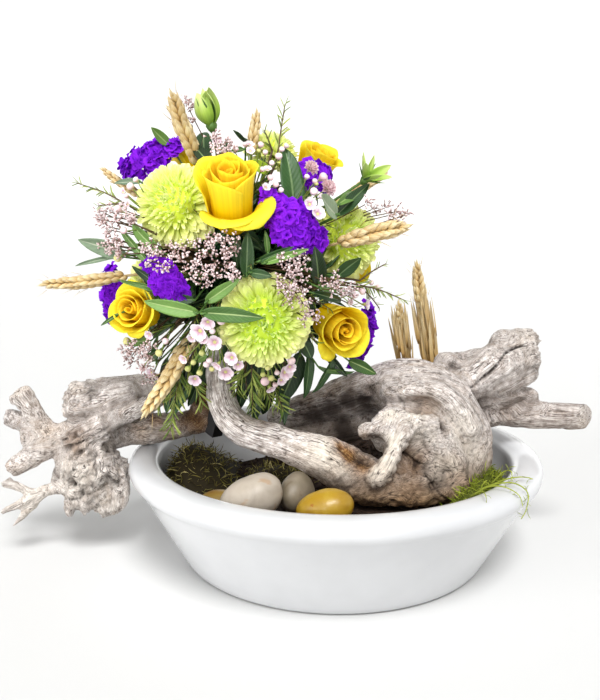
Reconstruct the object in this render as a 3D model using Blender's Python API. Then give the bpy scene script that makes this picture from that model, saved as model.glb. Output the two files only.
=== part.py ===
"""Flower arrangement in a pot.

A white ceramic bowl holds soil, pebbles and moss. Two pieces of driftwood lie across it, and a
ball-shaped bouquet stands on them in a plastic bouquet holder. Two ears of wheat stand in the soil.
The origin is the centre of the bowl's flat underside. +X is to the right and -Y to the front.
"""
import math

import bmesh
import bpy
from mathutils import Matrix, Vector

# ---------------------------------------------------------------- driving dimensions (metres)
GAP = 0.0003                    # clearance between pieces that touch

RIM_RADIUS = 0.185              # widest part of the rolled rim
RIM_WIDTH = 0.028               # radial width of the rim, seen from above
RIM_DROP = 0.019                # crest of the rim down to where it meets the side
RIM_STEP = 0.006                # how far the rim stands out over the side
BOWL_HEIGHT = 0.094             # base to the crest of the rim
BASE_RADIUS = 0.136
WALL = 0.010
FLOOR = 0.012
FLOOR_RADIUS = 0.116            # flat part of the floor inside
HEEL_RADIUS = 0.132             # inside, where the floor has turned up into the side
HEEL_HEIGHT = 0.020
WAIST_HEIGHT = 0.050            # inside, where the side is at its full thickness of WALL
BOWL_SEGMENTS = 40

SOIL_TOP = 0.066                # level of the soil above the base
STALK_RADIUS = 0.0014           # stalk of an ear of wheat
STALK_DEPTH = 0.025             # how deep a standing stalk is pushed into the soil
# name: (where it meets the soil, start of the ear, tip, radius of the ear)
STANDING_WHEAT = {
    "wheat_standing_tall": ((0.112, 0.052), (0.103, 0.052, 0.145), (0.079, 0.052, 0.256), 0.0090),
    "wheat_standing_short": ((0.090, 0.060), (0.080, 0.056, 0.160), (0.063, 0.052, 0.218), 0.0080),
}

BOUQUET_CENTRE = Vector((-0.084, -0.020, 0.262))
FOAM_RADIUS = 0.042
STEM_START = 0.026              # how near the centre of the foam the stems reach
HOLDER_RADIUS = 0.017           # rim of the plastic cup under the foam


# ---------------------------------------------------------------- scene and materials
def clear_scene():
    for item in list(bpy.data.objects):
        bpy.data.objects.remove(item, do_unlink=True)


def material(name, colour, roughness):
    """A Principled material; the same name always gives the same material."""
    found = bpy.data.materials.get(name)
    if found:
        return found
    made = bpy.data.materials.new(name)
    made.use_nodes = True
    shader = made.node_tree.nodes["Principled BSDF"]
    shader.inputs["Base Color"].default_value = (*colour, 1.0)
    shader.inputs["Roughness"].default_value = roughness
    shader.inputs["Metallic"].default_value = 0.0
    return made


def glazed_ceramic():
    return material("white_glaze", (0.86, 0.87, 0.88), 0.12)


def soil_material():
    return material("potting_soil", (0.035, 0.026, 0.020), 0.95)


def moss_material():
    return material("moss", (0.12, 0.19, 0.03), 0.90)


def driftwood_material():
    return material("driftwood", (0.42, 0.37, 0.33), 0.80)


def black_plastic():
    return material("black_plastic", (0.02, 0.02, 0.02), 0.45)


def foam_material():
    return material("floral_foam", (0.05, 0.14, 0.06), 0.95)


def yellow_petal():
    return material("yellow_petal", (0.95, 0.62, 0.02), 0.55)


def lime_petal():
    return material("lime_petal", (0.62, 0.80, 0.22), 0.60)


def violet_petal():
    return material("violet_petal", (0.13, 0.02, 0.55), 0.65)


def straw():
    return material("straw", (0.76, 0.53, 0.26), 0.65)


def green_leaf():
    return material("green_leaf", (0.06, 0.16, 0.06), 0.50)


def pale_bud():
    return material("pale_bud", (0.36, 0.52, 0.16), 0.50)


def pink_petal():
    return material("pink_petal", (0.66, 0.45, 0.52), 0.60)


def dusty_floret():
    return material("dusty_floret", (0.52, 0.40, 0.42), 0.75)


def pebble_material(name, colour):
    return material(name, colour, 0.45)


# ---------------------------------------------------------------- mesh helpers
def add_object(name, mesh, finish, parent=None):
    mesh.materials.clear()
    mesh.materials.append(finish)
    item = bpy.data.objects.new(name, mesh)
    bpy.context.scene.collection.objects.link(item)
    item.parent = parent
    return item


def finish_mesh(bm, name):
    """Turn a bmesh into a mesh with its faces pointing out and its flat facets softened."""
    bmesh.ops.remove_doubles(bm, verts=bm.verts, dist=1e-6)
    bmesh.ops.recalc_face_normals(bm, faces=bm.faces)
    mesh = bpy.data.meshes.new(name)
    bm.to_mesh(mesh)
    bm.free()
    mesh.shade_smooth()
    mesh.set_sharp_from_angle(angle=math.radians(50))
    return mesh


def add_loft(bm, rings):
    """Join rings of points, each with the same count, and close both ends with a fan."""
    loops = [[bm.verts.new(point) for point in ring] for ring in rings]
    count = len(loops[0])
    for lower, upper in zip(loops, loops[1:]):
        for i in range(count):
            j = (i + 1) % count
            bm.faces.new((lower[i], lower[j], upper[j], upper[i]))
    for loop, ring in ((loops[0], rings[0]), (loops[-1], rings[-1])):
        middle = bm.verts.new(sum((Vector(point) for point in ring), Vector()) / count)
        for i in range(count):
            bm.faces.new((loop[i], loop[(i + 1) % count], middle))


def lobed_ring(height, radius, sides, lobes=0, depth=0.0, turn=0.0, squash=1.0):
    """One ring round Z whose radius swells `lobes` times and whose Y is squashed."""
    ring = []
    for i in range(sides):
        angle = 2 * math.pi * i / sides + turn
        reach = radius * (1 + depth * math.cos(lobes * angle))
        ring.append(Vector((reach * math.cos(angle), squash * reach * math.sin(angle), height)))
    return ring


def frames_along(points):
    """A rotation for each point of a path, with Z along the path and little twist between them."""
    frames = []
    side = None
    for i, point in enumerate(points):
        ahead = points[min(i + 1, len(points) - 1)] - points[max(i - 1, 0)]
        ahead.normalize()
        if side is None:
            side = ahead.orthogonal().normalized()
        side = (side - ahead * side.dot(ahead)).normalized()
        frames.append(Matrix((side, ahead.cross(side), ahead)).transposed())
    return frames


def add_tube(bm, points, radii, sides, squash=1.0, turn=0.0):
    """A closed tube along a path; each end narrows to a blunt tip."""
    points = [Vector(point) for point in points]
    rings = []
    for point, radius, frame in zip(points, radii, frames_along(points)):
        rings.append([point + frame @ corner for corner in lobed_ring(0, radius, sides, 0, 0, turn, squash)])
    add_loft(bm, rings)


def add_ball(bm, centre, radius):
    bmesh.ops.create_icosphere(bm, subdivisions=1, radius=radius, matrix=Matrix.Translation(centre))


def bend(points, steps):
    """A smooth path of `steps` points per span through the given points (Catmull-Rom)."""
    points = [Vector(point) for point in points]
    padded = [2 * points[0] - points[1], *points, 2 * points[-1] - points[-2]]
    path = []
    for before, start, end, after in zip(padded, padded[1:], padded[2:], padded[3:]):
        for i in range(steps):
            t = i / steps
            path.append(0.5 * (2 * start + (end - before) * t
                               + (2 * before - 5 * start + 4 * end - after) * t ** 2
                               + (3 * start - before - 3 * end + after) * t ** 3))
    path.append(points[-1])
    return path


def spread(values, steps):
    """Straight-line values between the given ones, to match `bend`."""
    full = []
    for start, end in zip(values, values[1:]):
        full += [start + (end - start) * i / steps for i in range(steps)]
    return full + [values[-1]]


def fused(bm, name):
    """Union all the overlapping closed parts of a bmesh into one body."""
    body = bpy.data.objects.new(name, finish_mesh(bm, name))
    guide = bpy.data.objects.new(name + "_guide", far_chip())
    for item in (body, guide):
        bpy.context.scene.collection.objects.link(item)
    union = body.modifiers.new("union", "BOOLEAN")
    union.operation = "DIFFERENCE"
    union.object = guide
    union.use_self = True
    mesh = evaluated_mesh(body, name)
    for item in (body, guide):
        bpy.data.objects.remove(item)
    return mesh


def far_chip():
    """A small closed mesh far from everything, for a Boolean that only has to join a mesh to itself."""
    bm = bmesh.new()
    add_ball(bm, Vector((0, 0, -1)), 0.01)
    return finish_mesh(bm, "far_chip")


def evaluated_mesh(item, name):
    """The item's mesh with its modifiers applied."""
    graph = bpy.context.evaluated_depsgraph_get()
    mesh = bpy.data.meshes.new_from_object(item.evaluated_get(graph))
    mesh.name = name
    return mesh


def cut(item, cutter, name):
    """Take the cutter's volume away from the item."""
    cutter.hide_render = True
    cutter.display_type = "WIRE"
    boolean = item.modifiers.new(name, "BOOLEAN")
    boolean.operation = "DIFFERENCE"
    boolean.object = cutter


def turned(name, profile, finish, segments):
    """A solid of revolution. The profile runs (radius, height) from the top centre, down the outer
    side, to the bottom centre."""
    mesh = bpy.data.meshes.new(name)
    mesh.from_pydata([(radius, 0, height) for radius, height in profile],
                     [(i, i + 1) for i in range(len(profile) - 1)], [])
    item = add_object(name, mesh, finish)
    screw = item.modifiers.new("turn", "SCREW")
    screw.steps = segments
    screw.render_steps = segments
    screw.use_merge_vertices = True
    screw.merge_threshold = 0.00005
    return item


# ---------------------------------------------------------------- bowl and what fills it
def wall_radius(height):
    """Outer radius of the bowl's straight side at a height."""
    return BASE_RADIUS + (RIM_RADIUS - RIM_STEP - BASE_RADIUS) * height / (BOWL_HEIGHT - RIM_DROP)


def bowl_profile(clearance=0.0):
    """Profile of the bowl from the middle of its floor, over the rim and back under the base.
    A clearance thickens it all round."""
    inner = RIM_RADIUS - RIM_WIDTH
    crest = RIM_RADIUS - 0.46 * RIM_WIDTH
    under = BOWL_HEIGHT - RIM_DROP
    return [
        (0, FLOOR + clearance),
        (FLOOR_RADIUS, FLOOR + clearance),
        (HEEL_RADIUS - clearance, HEEL_HEIGHT),
        (wall_radius(WAIST_HEIGHT) - WALL - clearance, WAIST_HEIGHT),
        (inner + 0.001 - clearance, BOWL_HEIGHT - 0.014),
        (inner - clearance, BOWL_HEIGHT - 0.006),
        (inner + 0.004 - clearance, BOWL_HEIGHT - 0.0015 + clearance),
        (crest - 0.004, BOWL_HEIGHT + clearance),
        (crest + 0.005, BOWL_HEIGHT - 0.0008 + clearance),
        (RIM_RADIUS - 0.002 + clearance, BOWL_HEIGHT - 0.004 + clearance),
        (RIM_RADIUS + clearance, BOWL_HEIGHT - 0.008),
        (RIM_RADIUS - 0.001 + clearance, BOWL_HEIGHT - 0.014),
        (RIM_RADIUS - 0.004 + clearance, under + 0.0005 - clearance),
        (wall_radius(under) + clearance, under),
        (BASE_RADIUS + 0.002 + clearance, 0.003),
        (BASE_RADIUS, -clearance),
        (0, -clearance),
    ]


def make_bowl():
    return turned("bowl", bowl_profile(), glazed_ceramic(), BOWL_SEGMENTS)


def make_soil():
    """The soil fills the bowl to SOIL_TOP, clears its wall by GAP and is pierced by the wheat stalks."""
    top = wall_radius(WAIST_HEIGHT) - WALL - 2 * GAP
    profile = [
        (0, SOIL_TOP),
        (top + GAP, SOIL_TOP),
        (top, WAIST_HEIGHT),
        (HEEL_RADIUS - 2 * GAP, HEEL_HEIGHT),
        (FLOOR_RADIUS - 0.001, FLOOR + GAP),
        (0, FLOOR + GAP),
    ]
    soil = turned("soil", profile, soil_material(), BOWL_SEGMENTS)
    bm = bmesh.new()
    for foot, start, tip, size in STANDING_WHEAT.values():
        ground, below = stalk_foot(foot, start)
        above = ground + (ground - below)
        add_tube(bm, [below + (below - ground) * 0.02, above], [2 * STALK_RADIUS, 2 * STALK_RADIUS], 6)
    holes = add_object("stalk_holes", finish_mesh(bm, "stalk_holes"), soil_material())
    cut(soil, holes, "stalk_holes")


def make_pebble(name, centre, size, turn, tilt, colour):
    """A water-worn stone, flatter below than above, resting on the soil."""
    bm = bmesh.new()
    bmesh.ops.create_icosphere(bm, subdivisions=2, radius=0.5)
    shape = Matrix.Rotation(turn, 3, "Z") @ Matrix.Rotation(tilt, 3, "Y") @ Matrix.Diagonal(size)
    for vert in bm.verts:
        taper = 1 + 0.16 * vert.co.x
        vert.co = shape @ Vector((vert.co.x, vert.co.y * taper, vert.co.z * taper))
    lift = SOIL_TOP + GAP - min(vert.co.z for vert in bm.verts)
    stone = add_object(name, finish_mesh(bm, name), pebble_material(name, colour))
    stone.location = (centre[0], centre[1], lift)
    return stone


def make_pebbles():
    make_pebble("pebble_white", (-0.068, -0.112), (0.053, 0.036, 0.036), 0.10, -0.42, (0.74, 0.71, 0.63))
    make_pebble("pebble_grey", (-0.030, -0.090), (0.040, 0.024, 0.031), 1.25, 0.22, (0.52, 0.49, 0.41))
    make_pebble("pebble_amber", (-0.012, -0.119), (0.047, 0.032, 0.029), 0.05, -0.12, (0.72, 0.40, 0.06))
    make_pebble("pebble_orange", (-0.098, -0.094), (0.036, 0.024, 0.019), 0.60, 0.05, (0.66, 0.36, 0.08))


def make_moss(name, azimuths, radii, height, columns, rows):
    """A cushion of moss on the soil, laid out round the bowl between two azimuths and two radii."""
    bm = bmesh.new()
    grid = []
    for i in range(columns + 1):
        across = i / columns
        azimuth = math.radians(azimuths[0] + (azimuths[1] - azimuths[0]) * across)
        line = []
        for j in range(rows + 1):
            along = j / rows
            inset = 0.30 * (2 * across - 1) ** 4 * (0.5 - along)
            radius = radii[0] + (radii[1] - radii[0]) * (along + inset)
            swell = (1 - (2 * across - 1) ** 4) * (1 - (2 * along - 1) ** 4)
            lump = 1 + 0.22 * math.sin(7.1 * i + 2.3 * j) * math.cos(3.7 * j - 1.9 * i)
            point = Vector((radius * math.sin(azimuth), -radius * math.cos(azimuth), 0))
            line.append((point, SOIL_TOP + GAP + 0.002 + height * swell * lump))
        grid.append(line)
    top = [[bm.verts.new((p.x, p.y, z)) for p, z in line] for line in grid]
    under = [[bm.verts.new((p.x, p.y, SOIL_TOP + GAP)) for p, z in line] for line in grid]
    for i in range(columns):
        for j in range(rows):
            bm.faces.new((top[i][j], top[i + 1][j], top[i + 1][j + 1], top[i][j + 1]))
            bm.faces.new((under[i][j], under[i][j + 1], under[i + 1][j + 1], under[i + 1][j]))
    edge = [(i, 0) for i in range(columns)] + [(columns, j) for j in range(rows)]
    edge += [(i, rows) for i in range(columns, 0, -1)] + [(0, j) for j in range(rows, 0, -1)]
    for (a, b), (c, d) in zip(edge, edge[1:] + edge[:1]):
        bm.faces.new((top[a][b], under[a][b], under[c][d], top[c][d]))
    return add_object(name, finish_mesh(bm, name), moss_material())


def make_mosses():
    """Azimuths are measured from the front (-Y) towards +X, in degrees."""
    make_moss("moss_left", (-112, -64), (0.088, 0.153), 0.026, 8, 4)
    make_moss("moss_centre", (-104, -34), (0.026, 0.082), 0.010, 7, 3)
    make_moss("moss_right", (38, 80), (0.132, 0.153), 0.020, 6, 3)


# ---------------------------------------------------------------- driftwood
# Each limb is a list of (x, y, z, radius) along its heart.
ROOT_LIMBS = {
    "front branch": [(-0.099, -0.027, 0.184, 0.012), (-0.100, -0.037, 0.160, 0.012),
                     (-0.094, -0.050, 0.139, 0.0125), (-0.076, -0.061, 0.126, 0.0135),
                     (-0.046, -0.069, 0.118, 0.0145), (-0.018, -0.072, 0.109, 0.018),
                     (0.006, -0.070, 0.096, 0.021), (0.034, -0.068, 0.080, 0.020)],
    "arch": [(-0.050, 0.045, 0.116, 0.014), (-0.018, 0.036, 0.128, 0.018), (0.010, 0.022, 0.142, 0.021),
             (0.036, 0.006, 0.153, 0.023), (0.062, -0.004, 0.155, 0.024), (0.090, -0.010, 0.145, 0.025),
             (0.109, -0.018, 0.124, 0.025), (0.115, -0.028, 0.101, 0.024),
             (0.105, -0.042, 0.081, 0.022), (0.083, -0.058, 0.076, 0.018)],
    "saddle": [(0.040, -0.058, 0.126, 0.012), (0.058, -0.066, 0.131, 0.011), (0.078, -0.058, 0.128, 0.014)],
    "knob": [(0.052, -0.030, 0.118, 0.024), (0.078, -0.040, 0.108, 0.030), (0.092, -0.048, 0.090, 0.024)],
    "foot": [(0.040, -0.070, 0.083, 0.016), (0.064, -0.076, 0.084, 0.018), (0.090, -0.066, 0.082, 0.017)],
    "finger": [(0.052, -0.074, 0.120, 0.009), (0.040, -0.084, 0.106, 0.008), (0.029, -0.088, 0.094, 0.010)],
    "upper stub": [(0.092, -0.006, 0.138, 0.020), (0.124, 0.004, 0.152, 0.019),
                   (0.150, 0.012, 0.168, 0.021), (0.174, 0.019, 0.178, 0.023)],
    "small knob": [(0.090, 0.004, 0.156, 0.012), (0.106, 0.012, 0.168, 0.011)],
    "right stub": [(0.112, 0.004, 0.118, 0.016), (0.148, 0.012, 0.126, 0.0165), (0.178, 0.014, 0.121, 0.014),
                   (0.205, 0.014, 0.119, 0.013), (0.233, 0.014, 0.118, 0.0125)],
}
LEFT_LIMBS = {
    "lower log": [(-0.118, 0.007, 0.117, 0.012), (-0.140, 0.008, 0.112, 0.013), (-0.165, 0.008, 0.109, 0.014),
                  (-0.190, 0.006, 0.108, 0.016), (-0.216, 0.002, 0.108, 0.019),
                  (-0.240, -0.002, 0.104, 0.015), (-0.262, -0.002, 0.103, 0.012),
                  (-0.276, -0.002, 0.103, 0.012)],
    "upper log": [(-0.140, 0.014, 0.144, 0.012), (-0.168, 0.012, 0.143, 0.016), (-0.195, 0.010, 0.139, 0.019),
                  (-0.216, 0.008, 0.136, 0.019), (-0.236, 0.005, 0.134, 0.014)],
    "log knot": [(-0.222, 0.004, 0.146, 0.010), (-0.240, 0.002, 0.140, 0.008), (-0.232, 0.002, 0.120, 0.012)],
    "diagonal": [(-0.150, -0.014, 0.146, 0.007), (-0.170, -0.020, 0.136, 0.0085),
                 (-0.200, -0.022, 0.122, 0.009), (-0.234, -0.020, 0.106, 0.011)],
    "upright": [(-0.124, 0.007, 0.117, 0.012), (-0.116, 0.006, 0.140, 0.012), (-0.105, 0.003, 0.172, 0.011)],
    "upper prong": [(-0.274, -0.002, 0.104, 0.012), (-0.279, -0.002, 0.126, 0.010),
                    (-0.284, -0.002, 0.143, 0.012)],
    "stub prong": [(-0.276, 0.000, 0.112, 0.009), (-0.298, 0.004, 0.120, 0.009)],
    "lower prong": [(-0.262, -0.004, 0.103, 0.012), (-0.280, -0.008, 0.087, 0.011),
                    (-0.292, -0.012, 0.075, 0.009)],
    "gnarl": [(-0.222, -0.006, 0.102, 0.022), (-0.224, -0.014, 0.082, 0.024), (-0.222, -0.020, 0.062, 0.021)],
    "gnarl skirt": [(-0.240, -0.006, 0.100, 0.012), (-0.244, -0.008, 0.078, 0.011)],
    "left toe": [(-0.230, -0.020, 0.058, 0.014), (-0.236, -0.020, 0.041, 0.009)],
    "right toe": [(-0.212, -0.020, 0.056, 0.016), (-0.206, -0.020, 0.038, 0.010)],
    "rim nub": [(-0.212, -0.010, 0.076, 0.009), (-0.199, -0.008, 0.080, 0.005),
                (-0.1905, -0.006, 0.083, 0.004)],
    "twig": [(-0.236, -0.020, 0.064, 0.008), (-0.258, -0.024, 0.060, 0.007), (-0.275, -0.028, 0.052, 0.005),
             (-0.294, -0.030, 0.043, 0.0045)],
    "twig fork": [(-0.266, -0.026, 0.057, 0.005), (-0.278, -0.028, 0.064, 0.004),
                  (-0.288, -0.030, 0.067, 0.0035)],
    "twig tail": [(-0.262, -0.026, 0.056, 0.004), (-0.276, -0.028, 0.042, 0.0035),
                  (-0.286, -0.030, 0.031, 0.003)],
}


def grown_wood(name, limbs, triangles):
    """Merge overlapping limbs into one gnarled body."""
    bm = bmesh.new()
    for limb in limbs.values():
        path = bend([point[:3] for point in limb], 3)
        radii = spread([point[3] for point in limb], 3)
        add_tube(bm, path, radii, 10)
        add_ball(bm, path[0], radii[0] * 0.98)
        add_ball(bm, path[-1], radii[-1] * 0.98)
    wood = add_object(name, finish_mesh(bm, name), driftwood_material())
    remesh = wood.modifiers.new("merge", "REMESH")
    remesh.mode = "VOXEL"
    remesh.voxel_size = 0.0022
    soften = wood.modifiers.new("soften", "SMOOTH")
    soften.factor = 0.5
    soften.iterations = 3
    wood.data = evaluated_mesh(wood, name)
    wood.modifiers.clear()
    thin = wood.modifiers.new("thin", "DECIMATE")
    thin.ratio = triangles / (2 * len(wood.data.polygons))
    wood.data = evaluated_mesh(wood, name)
    wood.modifiers.clear()
    return wood


def slab_cutter(name, top):
    """A wide slab below a level, to flatten the underside of what stands on the soil."""
    bm = bmesh.new()
    place = Matrix.Translation((0, 0, top - 0.02)) @ Matrix.Diagonal((0.5, 0.5, 0.04, 1))
    bmesh.ops.create_cube(bm, size=1.0, matrix=place)
    return add_object(name, finish_mesh(bm, name), driftwood_material())


def make_driftwood(holder_cutter):
    root = grown_wood("driftwood_root", ROOT_LIMBS, 1300)
    cut(root, slab_cutter("soil_level", SOIL_TOP + GAP), "rest_on_soil")
    cut(root, holder_cutter, "clear_holder")
    left = grown_wood("driftwood_left", LEFT_LIMBS, 1300)
    rim_cutter = turned("rim_shape", bowl_profile(GAP), driftwood_material(), BOWL_SEGMENTS)
    cut(left, rim_cutter, "rest_on_rim")
    cut(left, holder_cutter, "clear_holder")


# ---------------------------------------------------------------- bouquet holder and foam
def add_holder(bm, clearance):
    """A small cup under the foam with a tapered square-ended handle that is wedged in the wood."""
    rim = -math.sqrt(FOAM_RADIUS ** 2 - HOLDER_RADIUS ** 2)
    base = -FOAM_RADIUS - 0.006
    cup = [(base - clearance, 0.5), (base + 0.003, 0.85), (rim + clearance, 1.0)]
    add_loft(bm, [lobed_ring(height, HOLDER_RADIUS * share + clearance, 14) for height, share in cup])
    neck = Vector((0, 0, base + 0.002))
    foot = Vector((-0.026, 0.018, -0.156))
    widths = [width + clearance for width in (0.010, 0.009, 0.008)]
    add_tube(bm, [neck, neck.lerp(foot, 0.5), foot], widths, 4, 1.0, math.radians(45))


def make_holder():
    """The holder, and an inflated copy that clears the wood round it."""
    bm = bmesh.new()
    add_holder(bm, 0.0)
    holder = add_object("bouquet_holder", fused(bm, "bouquet_holder"), black_plastic())
    holder.location = BOUQUET_CENTRE
    seat = add_foam_shape("foam_seat", FOAM_RADIUS + GAP)
    cut(holder, seat, "foam_seat")
    bm = bmesh.new()
    add_holder(bm, GAP)
    cutter = add_object("holder_clearance", fused(bm, "holder_clearance"), black_plastic())
    cutter.location = BOUQUET_CENTRE
    return cutter


def add_foam_shape(name, radius):
    bm = bmesh.new()
    bmesh.ops.create_uvsphere(bm, u_segments=14, v_segments=8, radius=radius)
    foam = add_object(name, finish_mesh(bm, name), foam_material())
    foam.location = BOUQUET_CENTRE
    return foam


def make_foam(stems):
    """The foam ball with a blind hole round every stem."""
    foam = add_foam_shape("foam_ball", FOAM_RADIUS)
    bm = bmesh.new()
    sides = 5
    for rotation, radius in stems:
        path = [rotation @ Vector((0, 0, reach)) for reach in (STEM_START - GAP, FOAM_RADIUS + 0.006)]
        flats = (radius + GAP) / math.cos(math.pi / sides)
        add_tube(bm, path, [flats, flats], sides)
    holes = add_object("stem_holes", finish_mesh(bm, "stem_holes"), foam_material())
    holes.location = BOUQUET_CENTRE
    cut(foam, holes, "stem_holes")


# ---------------------------------------------------------------- flowers
# Each head is modelled along +Z with the foam's centre at its origin; `reach` is the height of its middle.
def stem_rings(reach, radius, sides):
    """The straight stem below a head."""
    return [lobed_ring(STEM_START, radius * 0.7, sides), lobed_ring(STEM_START + 0.004, radius, sides),
            lobed_ring(reach, radius, sides)]


def rose_head(bm, reach, size):
    """A half-open rose: calyx, swelling cup of petals and a raised, rolled heart."""
    sides = 10
    shape = [(-0.95, 0.24, 0.00), (-0.70, 0.55, 0.05), (-0.25, 0.90, 0.06), (0.15, 1.00, 0.07),
             (0.50, 0.90, 0.08), (0.58, 0.62, 0.05), (0.72, 0.45, 0.04), (0.84, 0.22, 0.00)]
    rings = stem_rings(reach - 1.05 * size, 0.0019, sides)
    rings += [lobed_ring(reach + h * size, r * size, sides, 5, d, 0.3) for h, r, d in shape]
    add_loft(bm, rings)


def mum_head(bm, reach, size):
    """A pompon chrysanthemum: a low dome of many rays with a flatter middle."""
    sides = 12
    shape = [(-0.50, 0.20, 0.0), (-0.36, 0.62, 0.0), (-0.16, 0.95, 0.04), (0.06, 1.00, 0.05),
             (0.30, 0.88, 0.05), (0.46, 0.58, 0.04), (0.50, 0.25, 0.0)]
    rings = stem_rings(reach - 0.60 * size, 0.0022, sides)
    rings += [lobed_ring(reach + h * size, r * size, sides, 6, d) for h, r, d in shape]
    add_loft(bm, rings)


def statice_head(bm, reach, size):
    """A ragged flat-topped spray of papery florets."""
    sides = 9
    shape = [(-0.90, 0.20, 0.0), (-0.45, 0.70, 0.14), (0.05, 1.00, 0.16), (0.40, 0.86, 0.14),
             (0.55, 0.40, 0.10)]
    rings = stem_rings(reach - 1.0 * size, 0.0016, sides)
    rings += [lobed_ring(reach + h * size, r * size, sides, 4, d, 0.0, 0.8) for h, r, d in shape]
    add_loft(bm, rings)


def bud_head(bm, reach, size):
    """A closed bud: five twisted petals drawn to a point."""
    sides = 6
    shape = [(-1.20, 0.30), (-0.70, 0.80), (0.00, 1.00), (0.70, 0.75), (1.30, 0.30), (1.60, 0.08)]
    rings = stem_rings(reach - 1.4 * size, 0.0012, sides)
    rings += [lobed_ring(reach + h * size, r * size, sides, 0, 0, 0.25 * i) for i, (h, r) in enumerate(shape)]
    add_loft(bm, rings)


def ear_radii(rows, size):
    """Radii along an ear of grain, swelling at each row of husks."""
    radii = []
    for i in range(2 * rows):
        along = i / (2 * rows - 1)
        outline = math.sin(math.pi * (0.16 + 0.74 * along)) ** 0.5
        radii.append(size * outline * (1.0 if i % 2 else 0.74))
    return radii


def add_ear(bm, start, end, size, stalk):
    """An ear of wheat from start to end, on a stalk whose points come before it."""
    rows = 5
    husks = [start.lerp(end, 0.86 * i / (2 * rows - 1)) for i in range(2 * rows)]
    path = [*stalk, *husks, end]
    radii = [STALK_RADIUS] * len(stalk) + ear_radii(rows, size) + [0.0006]
    add_tube(bm, path, radii, 6, 0.72)


# ---------------------------------------------------------------- sprigs
def add_leaf(bm, base, tip, width, droop=0.0):
    """A lance-shaped leaf: a thin lens drawn from base to tip, sagging in its middle."""
    side = (tip - base).cross(Vector((0, 0, 1)))
    if side.length < 1e-6:
        side = Vector((1, 0, 0))
    side.normalize()
    up = side.cross(tip - base).normalized()
    rings = []
    for along, share in ((0.0, 0.22), (0.22, 0.62), (0.50, 1.0), (0.78, 0.66), (1.0, 0.06)):
        middle = base.lerp(tip, along) + up * droop * 4 * along * (1 - along)
        half = width / 2 * share
        thick = 0.0005
        rings.append([middle + side * half, middle + up * thick, middle - side * half, middle - up * thick])
    add_loft(bm, rings)


def add_sprig_stem(bm, path, radius):
    add_tube(bm, path, [radius * 0.7] + [radius] * (len(path) - 2) + [radius * 0.6], 5)


def leafy_sprig(bm, reach, leaves):
    """A stem with leaves that leave it at (height, heading, length, width, rise)."""
    path = [Vector((0, 0, z)) for z in (STEM_START, STEM_START + 0.004, reach)]
    add_sprig_stem(bm, path, 0.0012)
    for height, heading, length, width, rise in leaves:
        heading = math.radians(heading)
        rise = math.radians(rise)
        base = Vector((0, 0, height))
        out = Vector((math.cos(rise) * math.cos(heading), math.cos(rise) * math.sin(heading), math.sin(rise)))
        add_leaf(bm, base - out * 0.0006, base + out * length, width, 0.0015)


def budded_sprig(bm, reach, spread_angle, count, bud_size, stretch=1.0):
    """A stem that parts into short stalks, each with a round bud or floret at its end."""
    fork = reach - 0.014
    add_sprig_stem(bm, [Vector((0, 0, z)) for z in (STEM_START, STEM_START + 0.004, fork + 0.002)], 0.0012)
    for i in range(count):
        heading = 2.4 * i
        lean = math.radians(spread_angle) * (0.35 + 0.65 * ((i + 0.5) / count) ** 0.5)
        out = Vector((math.sin(lean) * math.cos(heading), math.sin(lean) * math.sin(heading), math.cos(lean)))
        foot = Vector((0, 0, fork - 0.001))
        shape = [(0.0, 0.0007), (0.016 - bud_size * stretch, 0.0007), (0.016, bud_size),
                 (0.016 + bud_size * stretch, bud_size * 0.3)]
        add_tube(bm, [foot + out * along for along, radius in shape], [radius for along, radius in shape], 4)


# ---------------------------------------------------------------- bouquet layout
# name: (azimuth, elevation, reach, size). Azimuth 0 faces the front, 90 faces +X; degrees and metres.
ROSES = {
    "rose_front": (4, 33, 0.110, 0.0245),
    "rose_left": (-47, -18, 0.104, 0.0240),
    "rose_right": (61, -26, 0.104, 0.0240),
    "rose_top": (106, 50, 0.108, 0.0205),
    "rose_back_left": (-128, 60, 0.102, 0.0220),
    "rose_back_right": (112, -2, 0.108, 0.0220),
}
MUMS = {
    "mum_left": (-30, 31, 0.100, 0.0265),
    "mum_front": (16, -21, 0.102, 0.0290),
    "mum_right": (84, 13, 0.096, 0.0260),
    "mum_top": (146, 60, 0.112, 0.0230),
    "mum_back": (180, 12, 0.098, 0.0270),
    "mum_back_left": (-118, -14, 0.098, 0.0260),
}
STATICE = {
    "statice_top_left": (-86, 51, 0.112, 0.0200),
    "statice_front": (31, 20, 0.105, 0.0200),
    "statice_left": (-26, -1, 0.100, 0.0140),
    "statice_low_left": (-90, -15, 0.110, 0.0170),
    "statice_right": (100, -26, 0.110, 0.0170),
    "statice_top_right": (66, 46, 0.100, 0.0150),
    "statice_back": (-150, 18, 0.100, 0.0180),
}
# name: (azimuth, elevation, reach of the ear's start, ear length, ear radius, sideways lean, upward lean)
WHEAT = {
    "wheat_top": (-40, 58, 0.096, 0.058, 0.0075, 0.10, 0.00),
    "wheat_left": (-76, -5, 0.092, 0.070, 0.0065, 0.00, 0.00),
    "wheat_low": (-40, -46, 0.092, 0.062, 0.0075, 0.00, 0.00),
    "wheat_right": (50, 6, 0.106, 0.058, 0.0070, 0.40, 0.20),
    "wheat_small_left": (-98, 34, 0.098, 0.044, 0.0055, 0.00, 0.00),
    "wheat_small_top": (140, 80, 0.098, 0.042, 0.0055, 0.00, 0.00),
    "wheat_far_right": (104, 30, 0.100, 0.056, 0.0060, 0.10, 0.00),
}
BUDS = {
    "bud_top": (-22, 68, 0.130, 0.0100),
    "bud_right": (80, 34, 0.136, 0.0100),
}
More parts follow.
